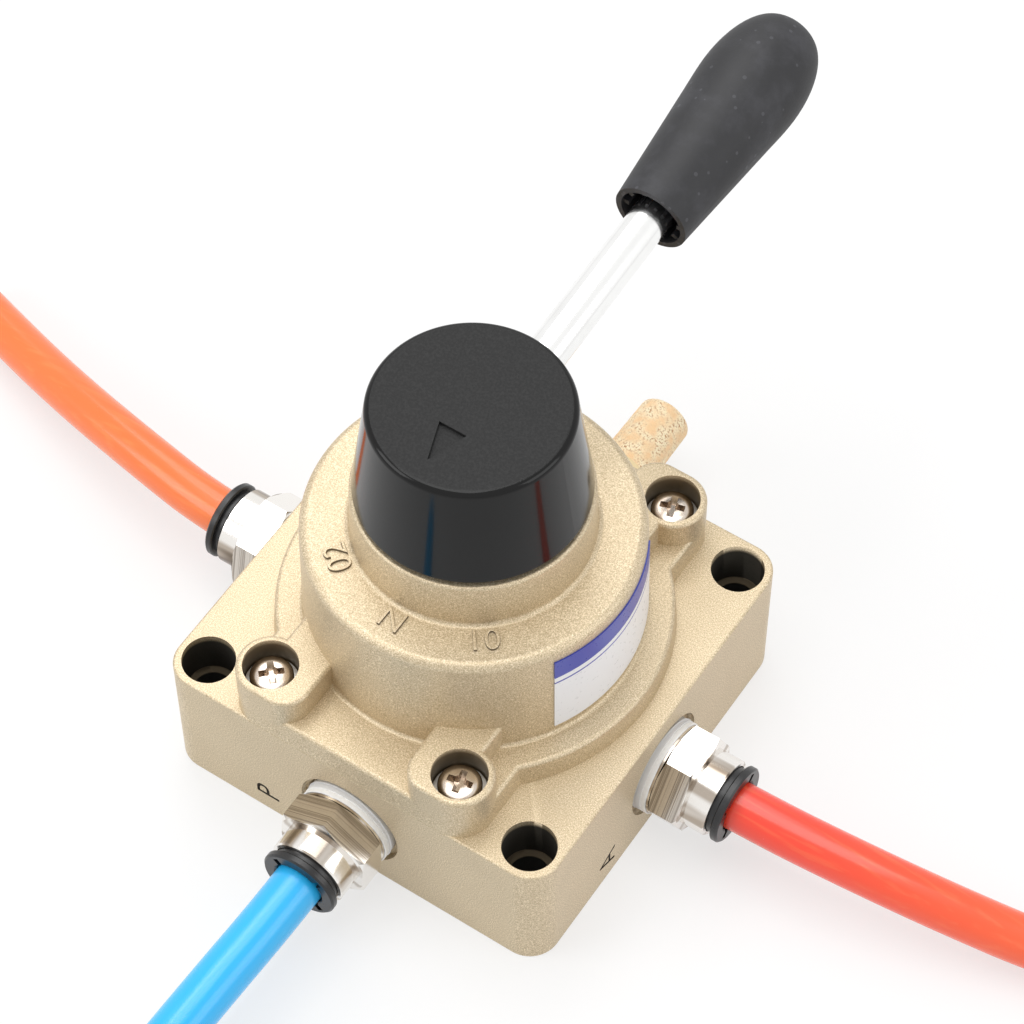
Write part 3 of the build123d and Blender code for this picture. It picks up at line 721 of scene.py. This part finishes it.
def even_shading(mesh: Mesh, angle: float) -> Mesh:
    """Shade a mesh smooth between sharp edges, with normals that lean to the larger faces.

    Args:
        mesh: The mesh, which this uses up.
        angle: The angle of the sharp edges, in degrees.

    Returns:
        The mesh with its normals kept.
    """
    piece = working(crease_shading(mesh, angle))
    even = piece.modifiers.new("even", "WEIGHTED_NORMAL")
    even.keep_sharp = True
    even.weight = 100
    return settle(piece)


def cut_out(piece: Object, cutter: Object, **settings: object) -> Mesh:
    """Cut one working object out of another and remove both.

    Args:
        piece: The object that is cut.
        cutter: The closed object that is taken away.
        settings: More settings of the cut, by name.

    Returns:
        The mesh that is left.
    """
    cut = piece.modifiers.new("cut", "BOOLEAN")
    cut.object = cutter
    cut.solver = "EXACT"
    for key, value in settings.items():
        setattr(cut, key, value)
    mesh = settle(piece)
    bpy.data.objects.remove(cutter)
    return mesh


def letters(words: str, size: float, depth: float, bevel: float = 0.0) -> Mesh:
    """Plain block letters, centred on the origin, facing +Z.

    Args:
        words: The letters or numbers.
        size: Their height in metres.
        depth: Their whole thickness, half of it each side of the origin.
        bevel: The rounding of their edges.

    Returns:
        A closed mesh.
    """
    text = bpy.data.curves.new("letters", "FONT")
    text.body = words
    text.size = size / CAPITAL_SHARE
    text.align_x = "CENTER"
    text.resolution_u = 6
    text.extrude = depth / 2 - bevel
    text.bevel_depth = bevel
    text.bevel_resolution = 1
    text.offset = -bevel
    mesh = settle(working(text))
    bpy.data.curves.remove(text)
    mesh.transform(Matrix.Translation((0, -size / 2, 0)))
    return mesh


def joined(meshes: list[Mesh]) -> Mesh:
    """Several meshes in one."""
    form = bmesh.new()
    for mesh in meshes:
        form.from_mesh(mesh)
        bpy.data.meshes.remove(mesh)
    return made(form, "joined")


def lay_along(port: Port, node: str) -> Matrix:
    """Turns +Z onto a port's axis, at the middle height of one of its CAD nodes."""
    low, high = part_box(node)
    turn = Matrix.Rotation(port.angle, 4, "Z") @ Matrix.Rotation(QUARTER, 4, "Y")
    return Matrix.Translation((0, 0, (low.z + high.z) / 2)) @ turn


class Tree(Nodes):
    """A Geometry Nodes tree with named inputs, used once on a working object."""

    def __init__(self, name: str, **inputs: float | int) -> None:
        """Start a tree.

        Args:
            name: The tree's name.
            inputs: Its named inputs and their values; whole numbers make integer sockets.
        """
        super().__init__(bpy.data.node_groups.new(name, "GeometryNodeTree"))
        face = self.tree.interface
        face.new_socket("Geometry", in_out="INPUT", socket_type="NodeSocketGeometry")
        face.new_socket("Geometry", in_out="OUTPUT", socket_type="NodeSocketGeometry")
        self.values: dict[str, float | int] = {}
        for key, value in inputs.items():
            kind = "NodeSocketInt" if isinstance(value, int) else "NodeSocketFloat"
            added = face.new_socket(key.replace("_", " "), in_out="INPUT", socket_type=kind)
            self.values[added.identifier] = value
        self.start = self.tree.nodes.new("NodeGroupInput")
        self.end = self.tree.nodes.new("NodeGroupOutput")

    def given(self, name: str) -> NodeSocket:
        """The group's own input of a name, with underscores for spaces."""
        return self.start.outputs[name.replace("_", " ")]

    def node(
        self, kind: str, settings: dict | None = None, *values: object, **named: object
    ) -> Node:
        """Add a node, whose type may leave out its GeometryNode prefix."""
        full = kind if kind.startswith(("Shader", "Function")) else "GeometryNode" + kind
        return super().node(full, settings, *values, **named)

    def sweep(self, profile: Node, lift: float, **spiral: object) -> NodeSocket:
        """A section swept along a spiral of one radius, which closes its ends.

        Args:
            profile: The node that makes the section.
            lift: How far the spiral's start lies over the origin.
            spiral: The spiral's inputs, with Radius for both of its ends.

        Returns:
            The swept geometry.
        """
        radius = spiral.pop("Radius")
        coil = self.node("CurveSpiral", None, Start_Radius=radius, End_Radius=radius, **spiral)
        swept = self.node(
            "CurveToMesh", None, Curve=coil.outputs[0], Profile_Curve=profile.outputs[0], Fill_Caps=True
        )
        return self.node("Transform", None, Geometry=swept.outputs[0], Translation=(0, 0, lift)).outputs[0]

    def run(self, shape: NodeSocket, mesh: Mesh, finish: Finish) -> Mesh:
        """Close the tree with Realize Instances and Set Material, and run it.

        Args:
            shape: The geometry that the tree has made.
            mesh: The mesh that goes in.
            finish: The finish that the result gets.

        Returns:
            The plain mesh that comes out.
        """
        real = self.node("RealizeInstances", None, Geometry=shape)
        dressed = self.node("SetMaterial", None, Geometry=real.outputs[0], Material=FINISHES.get(finish))
        self.feed(self.end.inputs[0], dressed.outputs[0])
        piece = working(mesh)
        modifier = piece.modifiers.new(self.tree.name, "NODES")
        modifier.node_group = self.tree
        for key, value in self.values.items():
            modifier[key] = value
        result = settle(piece)
        bpy.data.node_groups.remove(self.tree)
        return result


# ---- housing


@dataclass
class Housing:
    """The base block, the die-cast cover and what is marked on them."""

    letter_size: float = 4.5 * MM
    letter_depth: float = 0.5 * MM
    letter_aside: float = 16.0 * MM
    letter_height: float = 5.0 * MM
    mark_size: float = 3.8 * MM
    mark_relief: float = 0.42 * MM
    mark_radius: float = 21.45 * MM
    mark_bevel: float = 0.09 * MM
    mark_angle: float = 37.8
    shoulder: float = 50.9 * MM

    def letter_place(self, port: Port) -> Matrix:
        """Where a port's letter lies: on its face, turned a quarter to the left, left of the port."""
        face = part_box("base_body")[1].x
        upright = Matrix(((0, 0, 1, 0), (1, 0, 0, 0), (0, 1, 0, 0), (0, 0, 0, 1)))
        place = Matrix.Translation((face, -self.letter_aside, self.letter_height)) @ upright
        return Matrix.Rotation(port.angle, 4, "Z") @ place @ Matrix.Rotation(QUARTER, 4, "Z")

    def build_base(self) -> None:
        """Engrave the port letters in the base block, their cut floors and walls coloured near black."""
        cutters = []
        for port in Port:
            mesh = letters(port.key.upper(), self.letter_size, 2 * self.letter_depth)
            mesh.transform(self.letter_place(port))
            cutters.append(mesh)
        block = working(merged_copy("base_body"))
        Finishes.cover(block, FINISHES.get(Finish.PAINT))
        cutter = working(joined(cutters), "cutter")
        # the letters' cut floors and walls take this near-black finish
        Finishes.cover(cutter, FINISHES.get(Finish.INK))
        mesh = even_shading(cut_out(block, cutter, material_mode="TRANSFER"), 35)
        add_piece(mesh, "base_block", "body_paint", "base_body")

    def build_marks(self) -> None:
        """Raise the position marks on the cover's shoulder, their tops pointing outwards, with painted
        shade in dark brown on their side walls.
        """
        marks = []
        for words, turn in (("02", -self.mark_angle), ("N", 0.0), ("01", self.mark_angle)):
            mesh = letters(words, self.mark_size, 2 * self.mark_relief, self.mark_bevel)
            place = Matrix.Translation((0, -self.mark_radius, self.shoulder))
            swing = Matrix.Rotation(math.radians(turn), 4, "Z")
            mesh.transform(swing @ place @ Matrix.Rotation(math.pi, 4, "Z"))
            marks.append(mesh)
        mesh = crease_shading(joined(marks), 60)
        for finish in (Finish.PAINT, Finish.MARK_EDGE):
            mesh.materials.append(FINISHES.get(finish))
        # painted shade: the side walls take the dark brown finish
        for face in mesh.polygons:
            face.material_index = int(abs(face.normal.z) < 0.5)
        add_piece(mesh, "position_marks", "body_paint")

    def build(self) -> None:
        """Build the housing and dress its CAD nodes."""
        self.build_base()
        self.build_marks()
        FINISHES.dress("cover", Finish.PAINT)
        film = LabelFilm(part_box("label_plate")[1].z).material("label_film")
        Finishes.cover(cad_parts["label_plate"], film)
        for finish, nodes in (
            (Finish.SEAL, ("body_gasket", "spindle_oring")),
            (Finish.SEAT, ("port_plate", "rotor")),
            (Finish.ZINC, ("drive_pin", "spindle", "thrust_washer", "disc_spring_1", "disc_spring_2")),
            (Finish.ZINC, ("index_ring", "detent_spring_1", "detent_spring_2")),
            (Finish.BRASS, ("spindle_bush",)),
            (Finish.POLISHED, ("detent_ball_1", "detent_ball_2")),
        ):
            for node in nodes:
                FINISHES.dress(node, finish)


# ---- cover screws


@dataclass
class CoverScrews:
    """Four pan head screws with crossed recesses, each on a spring washer and a plain washer."""

    spacing: Pair = (34.4 * MM, 59.2 * MM)
    head_foot: float = 30.5 * MM
    head_radius: float = 3.4 * MM
    head_height: float = 1.8 * MM
    shank_radius: float = 2.0 * MM
    shank_foot: float = 14.3 * MM
    wing_half: float = 2.3 * MM
    wing_width: float = 1.2 * MM
    wing_depth: float = 1.3 * MM
    washer_radius: float = 2.88 * MM
    washer_section: float = 0.66 * MM
    washer_lift: float = 0.1 * MM
    washer_middle: float = 30.1 * MM

    def head_profile(self) -> list[Pair]:
        """A pan head's outline with its shank, from the shank's end to the crown."""
        r, h, low, foot = self.head_radius, self.head_height, self.head_foot, self.shank_foot
        crown = [
            (r * math.cos(a) ** 0.6, low + h * (0.45 + 0.55 * math.sin(a)))
            for a in (math.radians(k * 10) for k in range(9))
        ]
        return [
            (0, foot), (self.shank_radius * 0.8, foot), (self.shank_radius, foot + 0.4 * MM),
            (self.shank_radius, low), (r - 0.15 * MM, low), (r, low + 0.12 * MM), *crown, (0, low + h),
        ]

    def wing_cutter(self) -> Mesh:
        """A crossed driver's tip: four wings that narrow inwards and downwards, and a pyramid's core."""
        top = self.head_foot + self.head_height + 0.3 * MM
        foot = self.head_foot + self.head_height - self.wing_depth
        form = bmesh.new()
        for turn in (0.0, math.pi / 2):
            ends = []
            for height, half, width in (
                (foot, 0.45 * self.wing_half, 0.55 * self.wing_width),
                (top, self.wing_half, self.wing_width),
            ):
                corners = [(-half, -width / 2), (half, -width / 2), (half, width / 2), (-half, width / 2)]
                ends.append([form.verts.new((x, y, height)) for x, y in corners])
            low, high = ends
            form.faces.new(low[::-1])
            form.faces.new(high)
            for k in range(4):
                form.faces.new((low[k], low[(k + 1) % 4], high[(k + 1) % 4], high[k]))
            bmesh.ops.rotate(form, verts=low + high, cent=(0, 0, 0), matrix=Matrix.Rotation(turn, 3, "Z"))
        core = bmesh.ops.create_cone(
            form, cap_ends=True, segments=4, depth=top - foot,
            radius1=0.7 * self.wing_width, radius2=1.35 * self.wing_width,
        )
        bmesh.ops.translate(form, verts=core["verts"], vec=(0, 0, (top + foot) / 2))
        return made(form, "wings")

    def spread(self, tree: Tree, shape: NodeSocket, seed: int) -> NodeSocket:
        """One shape on each of the four screw places, each turned by chance.

        Args:
            tree: The tree that the shape is made in.
            shape: The shape at the origin's axis.
            seed: The seed of the turns.

        Returns:
            The instances.
        """
        size = {"Size_X": tree.given("Spacing_X"), "Size_Y": tree.given("Spacing_Y")}
        grid = tree.node("MeshGrid", None, Vertices_X=2, Vertices_Y=2, **size)
        turn = tree.node("FunctionNodeRandomValue", {"data_type": "FLOAT"}, Seed=seed)
        tree.feed(turn.inputs[3], math.pi)
        angle = tree.node("ShaderNodeCombineXYZ", None, X=0.0, Y=0.0, Z=turn.outputs[1]).outputs[0]
        spots = {"Points": grid.outputs["Mesh"], "Rotation": angle}
        return tree.node("InstanceOnPoints", None, Instance=shape, **spots).outputs[0]

    def build_screws(self) -> None:
        """Lathe one screw, cut its crossed recess and repeat it."""
        screw = working(lathe(self.head_profile(), 48))
        cutter = working(self.wing_cutter(), "cutter")
        mesh = even_shading(cut_out(screw, cutter, use_self=True), 30)
        tree = Tree("crossed_screws", Spacing_X=self.spacing[0], Spacing_Y=self.spacing[1])
        mesh = tree.run(self.spread(tree, tree.given("Geometry"), 7), mesh, Finish.SCREW)
        add_piece(mesh, "crossed_screws", "zinc_steel", *(f"cover_screw_{k}" for k in range(1, 5)))

    def build_washers(self) -> None:
        """Sweep one split spring washer and repeat it."""
        tree = Tree(
            "spring_washers", Spacing_X=self.spacing[0], Spacing_Y=self.spacing[1],
            Mean_Radius=self.washer_radius, Section=self.washer_section, Lift=self.washer_lift,
        )
        side = tree.given("Section")
        section = tree.node("CurvePrimitiveQuadrilateral", None, Width=side, Height=side)
        coil = tree.sweep(
            section, self.washer_middle - self.washer_lift / 2, Resolution=48, Rotations=0.96,
            Radius=tree.given("Mean_Radius"), Height=tree.given("Lift"),
        )
        mesh = tree.run(self.spread(tree, coil, 3), bpy.data.meshes.new("empty"), Finish.ZINC)
        nodes = (f"spring_washer_{k}" for k in range(1, 5))
        add_piece(crease_shading(mesh), "split_washers", "zinc_steel", *nodes)
        for k in range(1, 5):
            FINISHES.dress(f"flat_washer_{k}", Finish.ZINC)

    def build(self) -> None:
        """Build the screws and their washers."""
        self.build_screws()
        self.build_washers()


# ---- fittings and tubes


@dataclass
class PushInFitting:
    """A nickel push-in fitting with sealed thread, release collet and gripped tube."""

    port: Port
    seal_radius: float = 8.1 * MM
    seal_from: float = 33.8 * MM
    seal_to: float = 36.6 * MM
    pitch: float = 1.34 * MM
    crest: float = 0.22 * MM

    @property
    def nickel(self) -> Finish:
        """The nickel that lies along this port's axis."""
        return Finish[f"NICKEL_{self.port.key.upper()}"]

    def build_seal(self) -> None:
        """Coat the last turns of the thread with white sealant, and close it with a nickel ring."""
        length = self.seal_to - 1.0 * MM - self.seal_from
        tree = Tree(
            "sealed_thread", Radius=self.seal_radius - self.crest - 0.02 * MM,
            Turns=length / self.pitch - 0.5, Length=length - 2.4 * self.crest,
        )
        ridge = tree.node("CurvePrimitiveCircle", None, Resolution=8, Radius=self.crest)
        helix = tree.sweep(
            ridge, self.seal_from + 1.2 * self.crest, Resolution=64, Rotations=tree.given("Turns"),
            Radius=tree.given("Radius"), Height=tree.given("Length"),
        )
        both = tree.node("JoinGeometry")
        tree.feed(both.inputs[0], helix)
        tree.feed(both.inputs[0], tree.given("Geometry"))
        inner, outer = self.seal_radius - 0.36 * MM, self.seal_radius - 0.13 * MM
        chamfer, deep = outer - 0.1 * MM, inner + 0.03 * MM
        groove, close = self.seal_to - 0.95 * MM, self.seal_to
        band = lathe([
            (inner, self.seal_from), (chamfer, self.seal_from), (outer, self.seal_from + 0.2 * MM),
            (outer, groove), (deep, groove + 0.04 * MM), (deep, groove + 0.30 * MM),
            (outer, groove + 0.34 * MM), (outer, close - 0.12 * MM), (chamfer, close),
            (inner, close), (inner, self.seal_from),
        ], 72)
        mesh = tree.run(both.outputs[0], band, Finish.SEALANT)
        mesh.materials.append(FINISHES.get(self.nickel))
        for face in mesh.polygons:
            face.material_index = int(face.center.z > groove)
        seal = f"fitting_seal_{self.port.key}"
        mesh.transform(lay_along(self.port, seal))
        add_piece(crease_shading(mesh), f"sealed_thread_{self.port.key}", "thread_sealant", seal)

    def build(self) -> None:
        """Build the fitting's pieces and dress its CAD nodes."""
        self.build_seal()
        for node, finish in (
            ("fitting", self.nickel), ("tube_oring", Finish.SEAL),
            ("claw_ring", Finish.POLISHED), ("collet", Finish.COLLET),
        ):
            FINISHES.dress(f"{node}_{self.port.key}", finish)


@dataclass
class AirTube:
    """An air tube on a smooth route from inside its fitting to its square-cut end."""

    port: Port
    route: list[Point]
    slot: str
    finish: Finish
    outer: float = 8.0 * MM
    bore: float = 5.2 * MM
    collet_face: float = 48.6 * MM
    steps: int = 40

    def centre_line(self) -> list[Vector]:
        """Points along the route's own smooth curve."""
        curve = bpy.data.curves.new("route", "CURVE")
        curve.dimensions = "3D"
        curve.resolution_u = 12
        spline = curve.splines.new("NURBS")
        spline.points.add(len(self.route) - 1)
        for point, place in zip(spline.points, self.route):
            point.co = (*(MM * c for c in place), 1.0)
        spline.order_u = 3
        spline.use_endpoint_u = True
        line = settle(working(curve))
        points = [v.co.copy() for v in line.vertices]
        bpy.data.curves.remove(curve)
        bpy.data.meshes.remove(line)
        return points

    def wall(self, line: list[Vector]) -> Mesh:
        """The tube's wall round its centre line, outside, inside and at both ends.

        Args:
            line: The centre line's points.

        Returns:
            A closed mesh.
        """
        form = bmesh.new()
        sections = []
        for k, point in enumerate(line):
            ahead = (line[min(k + 1, len(line) - 1)] - line[max(k - 1, 0)]).normalized()
            side = ahead.cross(Vector((0, 0, 1))).normalized()
            up = side.cross(ahead)
            rings = []
            for radius in (self.outer / 2, self.bore / 2):
                turn = (2 * math.pi * s / self.steps for s in range(self.steps))
                arms = (math.cos(a) * side + math.sin(a) * up for a in turn)
                rings.append([form.verts.new(point + radius * arm) for arm in arms])
            sections.append(rings)
        for s in range(self.steps):
            t = (s + 1) % self.steps
            for here, there in zip(sections, sections[1:]):
                form.faces.new((here[0][s], here[0][t], there[0][t], there[0][s]))
                form.faces.new((here[1][t], here[1][s], there[1][s], there[1][t]))
            for rings in (sections[0], sections[-1]):
                form.faces.new((rings[0][s], rings[1][s], rings[1][t], rings[0][t]))
        bmesh.ops.recalc_face_normals(form, faces=form.faces)
        return crease_shading(made(form, "tube"))

    def build(self) -> None:
        line = self.centre_line()
        mesh = self.wall(line)
        mesh.materials.append(FINISHES.get(self.finish))
        name = f"tube_{self.port.name.lower()}"
        tube = add_piece(mesh, name, self.slot, f"air_tube_{self.port.key}")


# ---- muffler


@dataclass
class Muffler:
    """The sintered exhaust muffler on its hexagon base."""

    start: float = 40.0 * MM
    end: float = 56.5 * MM
    foot_radius: float = 4.75 * MM
    tip_radius: float = 4.5 * MM
    edge: float = 1.0 * MM
    grain_depth: float = 0.08 * MM
    grains: float = 3200.0
    rows: int = 90
    steps: int = 150

    def profile(self) -> list[Pair]:
        """The cup's outline, finely stepped outside so that grains can stand out of it."""
        wall = [
            (self.foot_radius + (self.tip_radius - self.foot_radius) * k / self.rows,
             self.start + (self.end - self.edge - self.start) * k / self.rows)
            for k in range(self.rows + 1)
        ]
        rim = [
            (self.tip_radius - self.edge * (1 - math.cos(a)), self.end - self.edge * (1 - math.sin(a)))
            for a in (math.radians(15 * k) for k in range(1, 7))
        ]
        flat = [(r * 0.25 * MM, self.end) for r in range(12, 0, -1)]
        return [(0, self.start), *wall, *rim, *flat, (0, self.end)]

    def build(self) -> None:
        """Build the grained cup and dress the base."""
        tree = Tree("sintered_cup", Grain_Scale=self.grains, Grain_Depth=self.grain_depth)
        cells = tree.node("ShaderNodeTexVoronoi", None, Scale=tree.given("Grain_Scale"), Randomness=1.0)
        depth = (Link(tree, cells.outputs["Distance"]) - 1.0) * Link(tree, tree.given("Grain_Depth"))
        normal = tree.node("InputNormal").outputs[0]
        offset = tree.node("ShaderNodeVectorMath", {"operation": "SCALE"}, normal, Scale=depth * -1.0)
        moved = tree.node("SetPosition", None, Geometry=tree.given("Geometry"), Offset=offset.outputs[0])
        mesh = tree.run(moved.outputs[0], lathe(self.profile(), self.steps), Finish.BRONZE)
        mesh.transform(lay_along(Port.EXHAUST, "muffler_element"))
        mesh.shade_smooth()
        add_piece(mesh, "sintered_cup", "sintered_bronze", "muffler_element")
        FINISHES.dress("muffler_base", Finish.BRASS)


# ---- lever


@dataclass
class Lever:
    """The turning knob, the polished rod and the rubber grip."""

    def build(self) -> None:
        """Dress the lever's CAD nodes."""
        FINISHES.dress("knob", Finish.KNOB)
        FINISHES.dress("lever_rod", Finish.POLISHED)
        FINISHES.dress("lever_grip", Finish.GRIP)


# ---- studio


@dataclass(frozen=True)
class Lamp:
    """A square soft lamp that faces the valve."""

    name: str
    place: Point
    size: float
    power: float

    def build(self) -> None:
        """Hang the lamp."""
        data = bpy.data.lights.new(self.name, "AREA")
        data.size = self.size
        data.energy = self.power
        lamp = working(data, self.name)
        lamp.location = self.place
        lamp.rotation_mode = "QUATERNION"
        lamp.rotation_quaternion = (Vector((0, 0, 0.03)) - Vector(self.place)).to_track_quat("-Z", "Y")


@dataclass
class Studio:
    """A white table, soft lights and the camera."""

    camera_place: Point = (0.17377, -0.24972, 0.50099)
    azimuth: float = 33.752
    elevation: float = 55.826
    roll: float = -0.207
    lens: float = 127.88
    floor_size: float = 4.0
    table_white: float = 0.62
    table_drop: float = 0.1 * MM
    sky: float = 0.45
    lamps: tuple[Lamp, ...] = (
        Lamp("key", (-0.12, 0.0, 0.95), 0.7, 4.2),
        Lamp("back", (-0.33, 0.42, 0.72), 0.5, 1.6),
        Lamp("side", (-0.45, -0.45, 0.45), 0.4, 1.4),
        Lamp("fill", (0.6, 0.1, 0.35), 0.4, 0.9),
    )

    def build_camera(self) -> None:
        """Make the camera and make it the scene's."""
        data = bpy.data.cameras.new("camera")
        data.lens = self.lens
        data.sensor_width = 36.0
        data.clip_start = 0.01
        data.clip_end = 20.0
        camera = working(data, "camera")
        a, e = math.radians(self.azimuth), math.radians(self.elevation)
        ahead = Vector((-math.sin(a) * math.cos(e), math.cos(a) * math.cos(e), -math.sin(e)))
        turn = ahead.to_track_quat("-Z", "Y").to_matrix().to_4x4()
        roll = Matrix.Rotation(math.radians(self.roll), 4, "Z")
        camera.matrix_world = Matrix.Translation(self.camera_place) @ turn @ roll
        bpy.context.scene.camera = camera

    def show_white(
        self, tree: NodeTree, glow: str, lit: str, output: str, share: float = 1.0
    ) -> None:
        """Show white to the camera's, glossy and transmission rays, and leave the light to all others.

        Args:
            tree: The table's or the world's nodes.
            glow: The type of the white shader.
            lit: The name of the node that the other rays meet.
            output: The name of the output node.
            share: How much of the white is mixed in.
        """
        nodes = Nodes(tree)
        rays = nodes.node("ShaderNodeLightPath")
        seen = Link(nodes, rays.outputs["Is Camera Ray"])
        for name in ("Is Glossy Ray", "Is Transmission Ray"):
            seen = seen.maximum(Link(nodes, rays.outputs[name]))
        white = nodes.node(glow, None, (1.0, 1.0, 1.0), 1.0).outputs[0]
        mix = nodes.node("ShaderNodeMixShader", None, seen * share, tree.nodes[lit].outputs[0], white)
        nodes.feed(tree.nodes[output].inputs[0], mix.outputs[0])

    def build_floor(self) -> None:
        """Lay the white table, which keeps the valve's shadow."""
        half = self.floor_size / 2
        mesh = bpy.data.meshes.new("table")
        corners = [(-half, -half, 0), (half, -half, 0), (half, half, 0), (-half, half, 0)]
        mesh.from_pydata(corners, [], [(0, 1, 2, 3)])
        floor = working(mesh, "table")
        floor.location.z = -self.table_drop
        material = bpy.data.materials.new("table_white")
        material.use_nodes = True
        shader = material.node_tree.nodes["Principled BSDF"]
        shader.inputs["Base Color"].default_value = (0.92, 0.92, 0.92, 1)
        shader.inputs["Roughness"].default_value = 0.9
        self.show_white(
            material.node_tree, "ShaderNodeEmission", shader.name, "Material Output", self.table_white
        )
        floor.data.materials.append(material)

    def build_world(self) -> None:
        """Surround the valve with pale light, seen as white."""
        world = bpy.data.worlds.new("studio")
        bpy.context.scene.world = world
        world.use_nodes = True
        light = world.node_tree.nodes["Background"]
        light.inputs[0].default_value = (1.0, 1.0, 1.0, 1)
        light.inputs[1].default_value = self.sky
        self.show_white(world.node_tree, "ShaderNodeBackground", light.name, "World Output")

    def build(self) -> None:
        """Build the whole studio."""
        bpy.context.scene.view_settings.view_transform = "Standard"
        self.build_camera()
        self.build_world()
        self.build_floor()
        for lamp in self.lamps:
            lamp.build()


# ---- the valve


@dataclass
class Valve:
    """The whole valve, sub-assembly by sub-assembly."""

    housing: Housing = field(default_factory=Housing)
    screws: CoverScrews = field(default_factory=CoverScrews)
    lever: Lever = field(default_factory=Lever)
    muffler: Muffler = field(default_factory=Muffler)
    fittings: list[PushInFitting] = field(
        default_factory=lambda: [PushInFitting(p) for p in (Port.SUPPLY, Port.OUTLET_A, Port.OUTLET_B)]
    )
    tubes: list[AirTube] = field(default_factory=lambda: [
        AirTube(
            Port.SUPPLY, [(0, -37.0, 11.8), (0, -54.0, 11.8), (-0.7, -70.5, 11.8), (-1.1, -86.0, 11.7)],
            "blue_tube", Finish.BLUE_TUBE,
        ),
        AirTube(
            Port.OUTLET_A,
            [
                (37.0, 0, 11.8), (51.5, 0, 11.8), (68.0, 1.4, 11.0),
                (84.0, 4.1, 8.6), (100.0, 7.7, 5.6), (114.0, 11.9, 4.15),
            ],
            "orange_tube", Finish.RED_TUBE,
        ),
        AirTube(
            Port.OUTLET_B,
            [
                (-37.0, 0, 11.8), (-51.5, 0, 11.8), (-68.0, 3.0, 11.0),
                (-85.0, 7.1, 8.6), (-102.0, 12.3, 5.6), (-117.5, 17.3, 4.15),
            ],
            "orange_tube", Finish.ORANGE_TUBE,
        ),
    ])

    def build(self) -> None:
        """Build every sub-assembly in order."""
        for part in (*self.tubes, self.housing, self.screws, *self.fittings, self.muffler, self.lever):
            part.build()


def main() -> None:
    """Build the studio and the valve."""
    logging.basicConfig(level=logging.INFO, format="%(message)s")
    Studio().build()
    Valve().build()


if __name__ == "__main__":
    main()
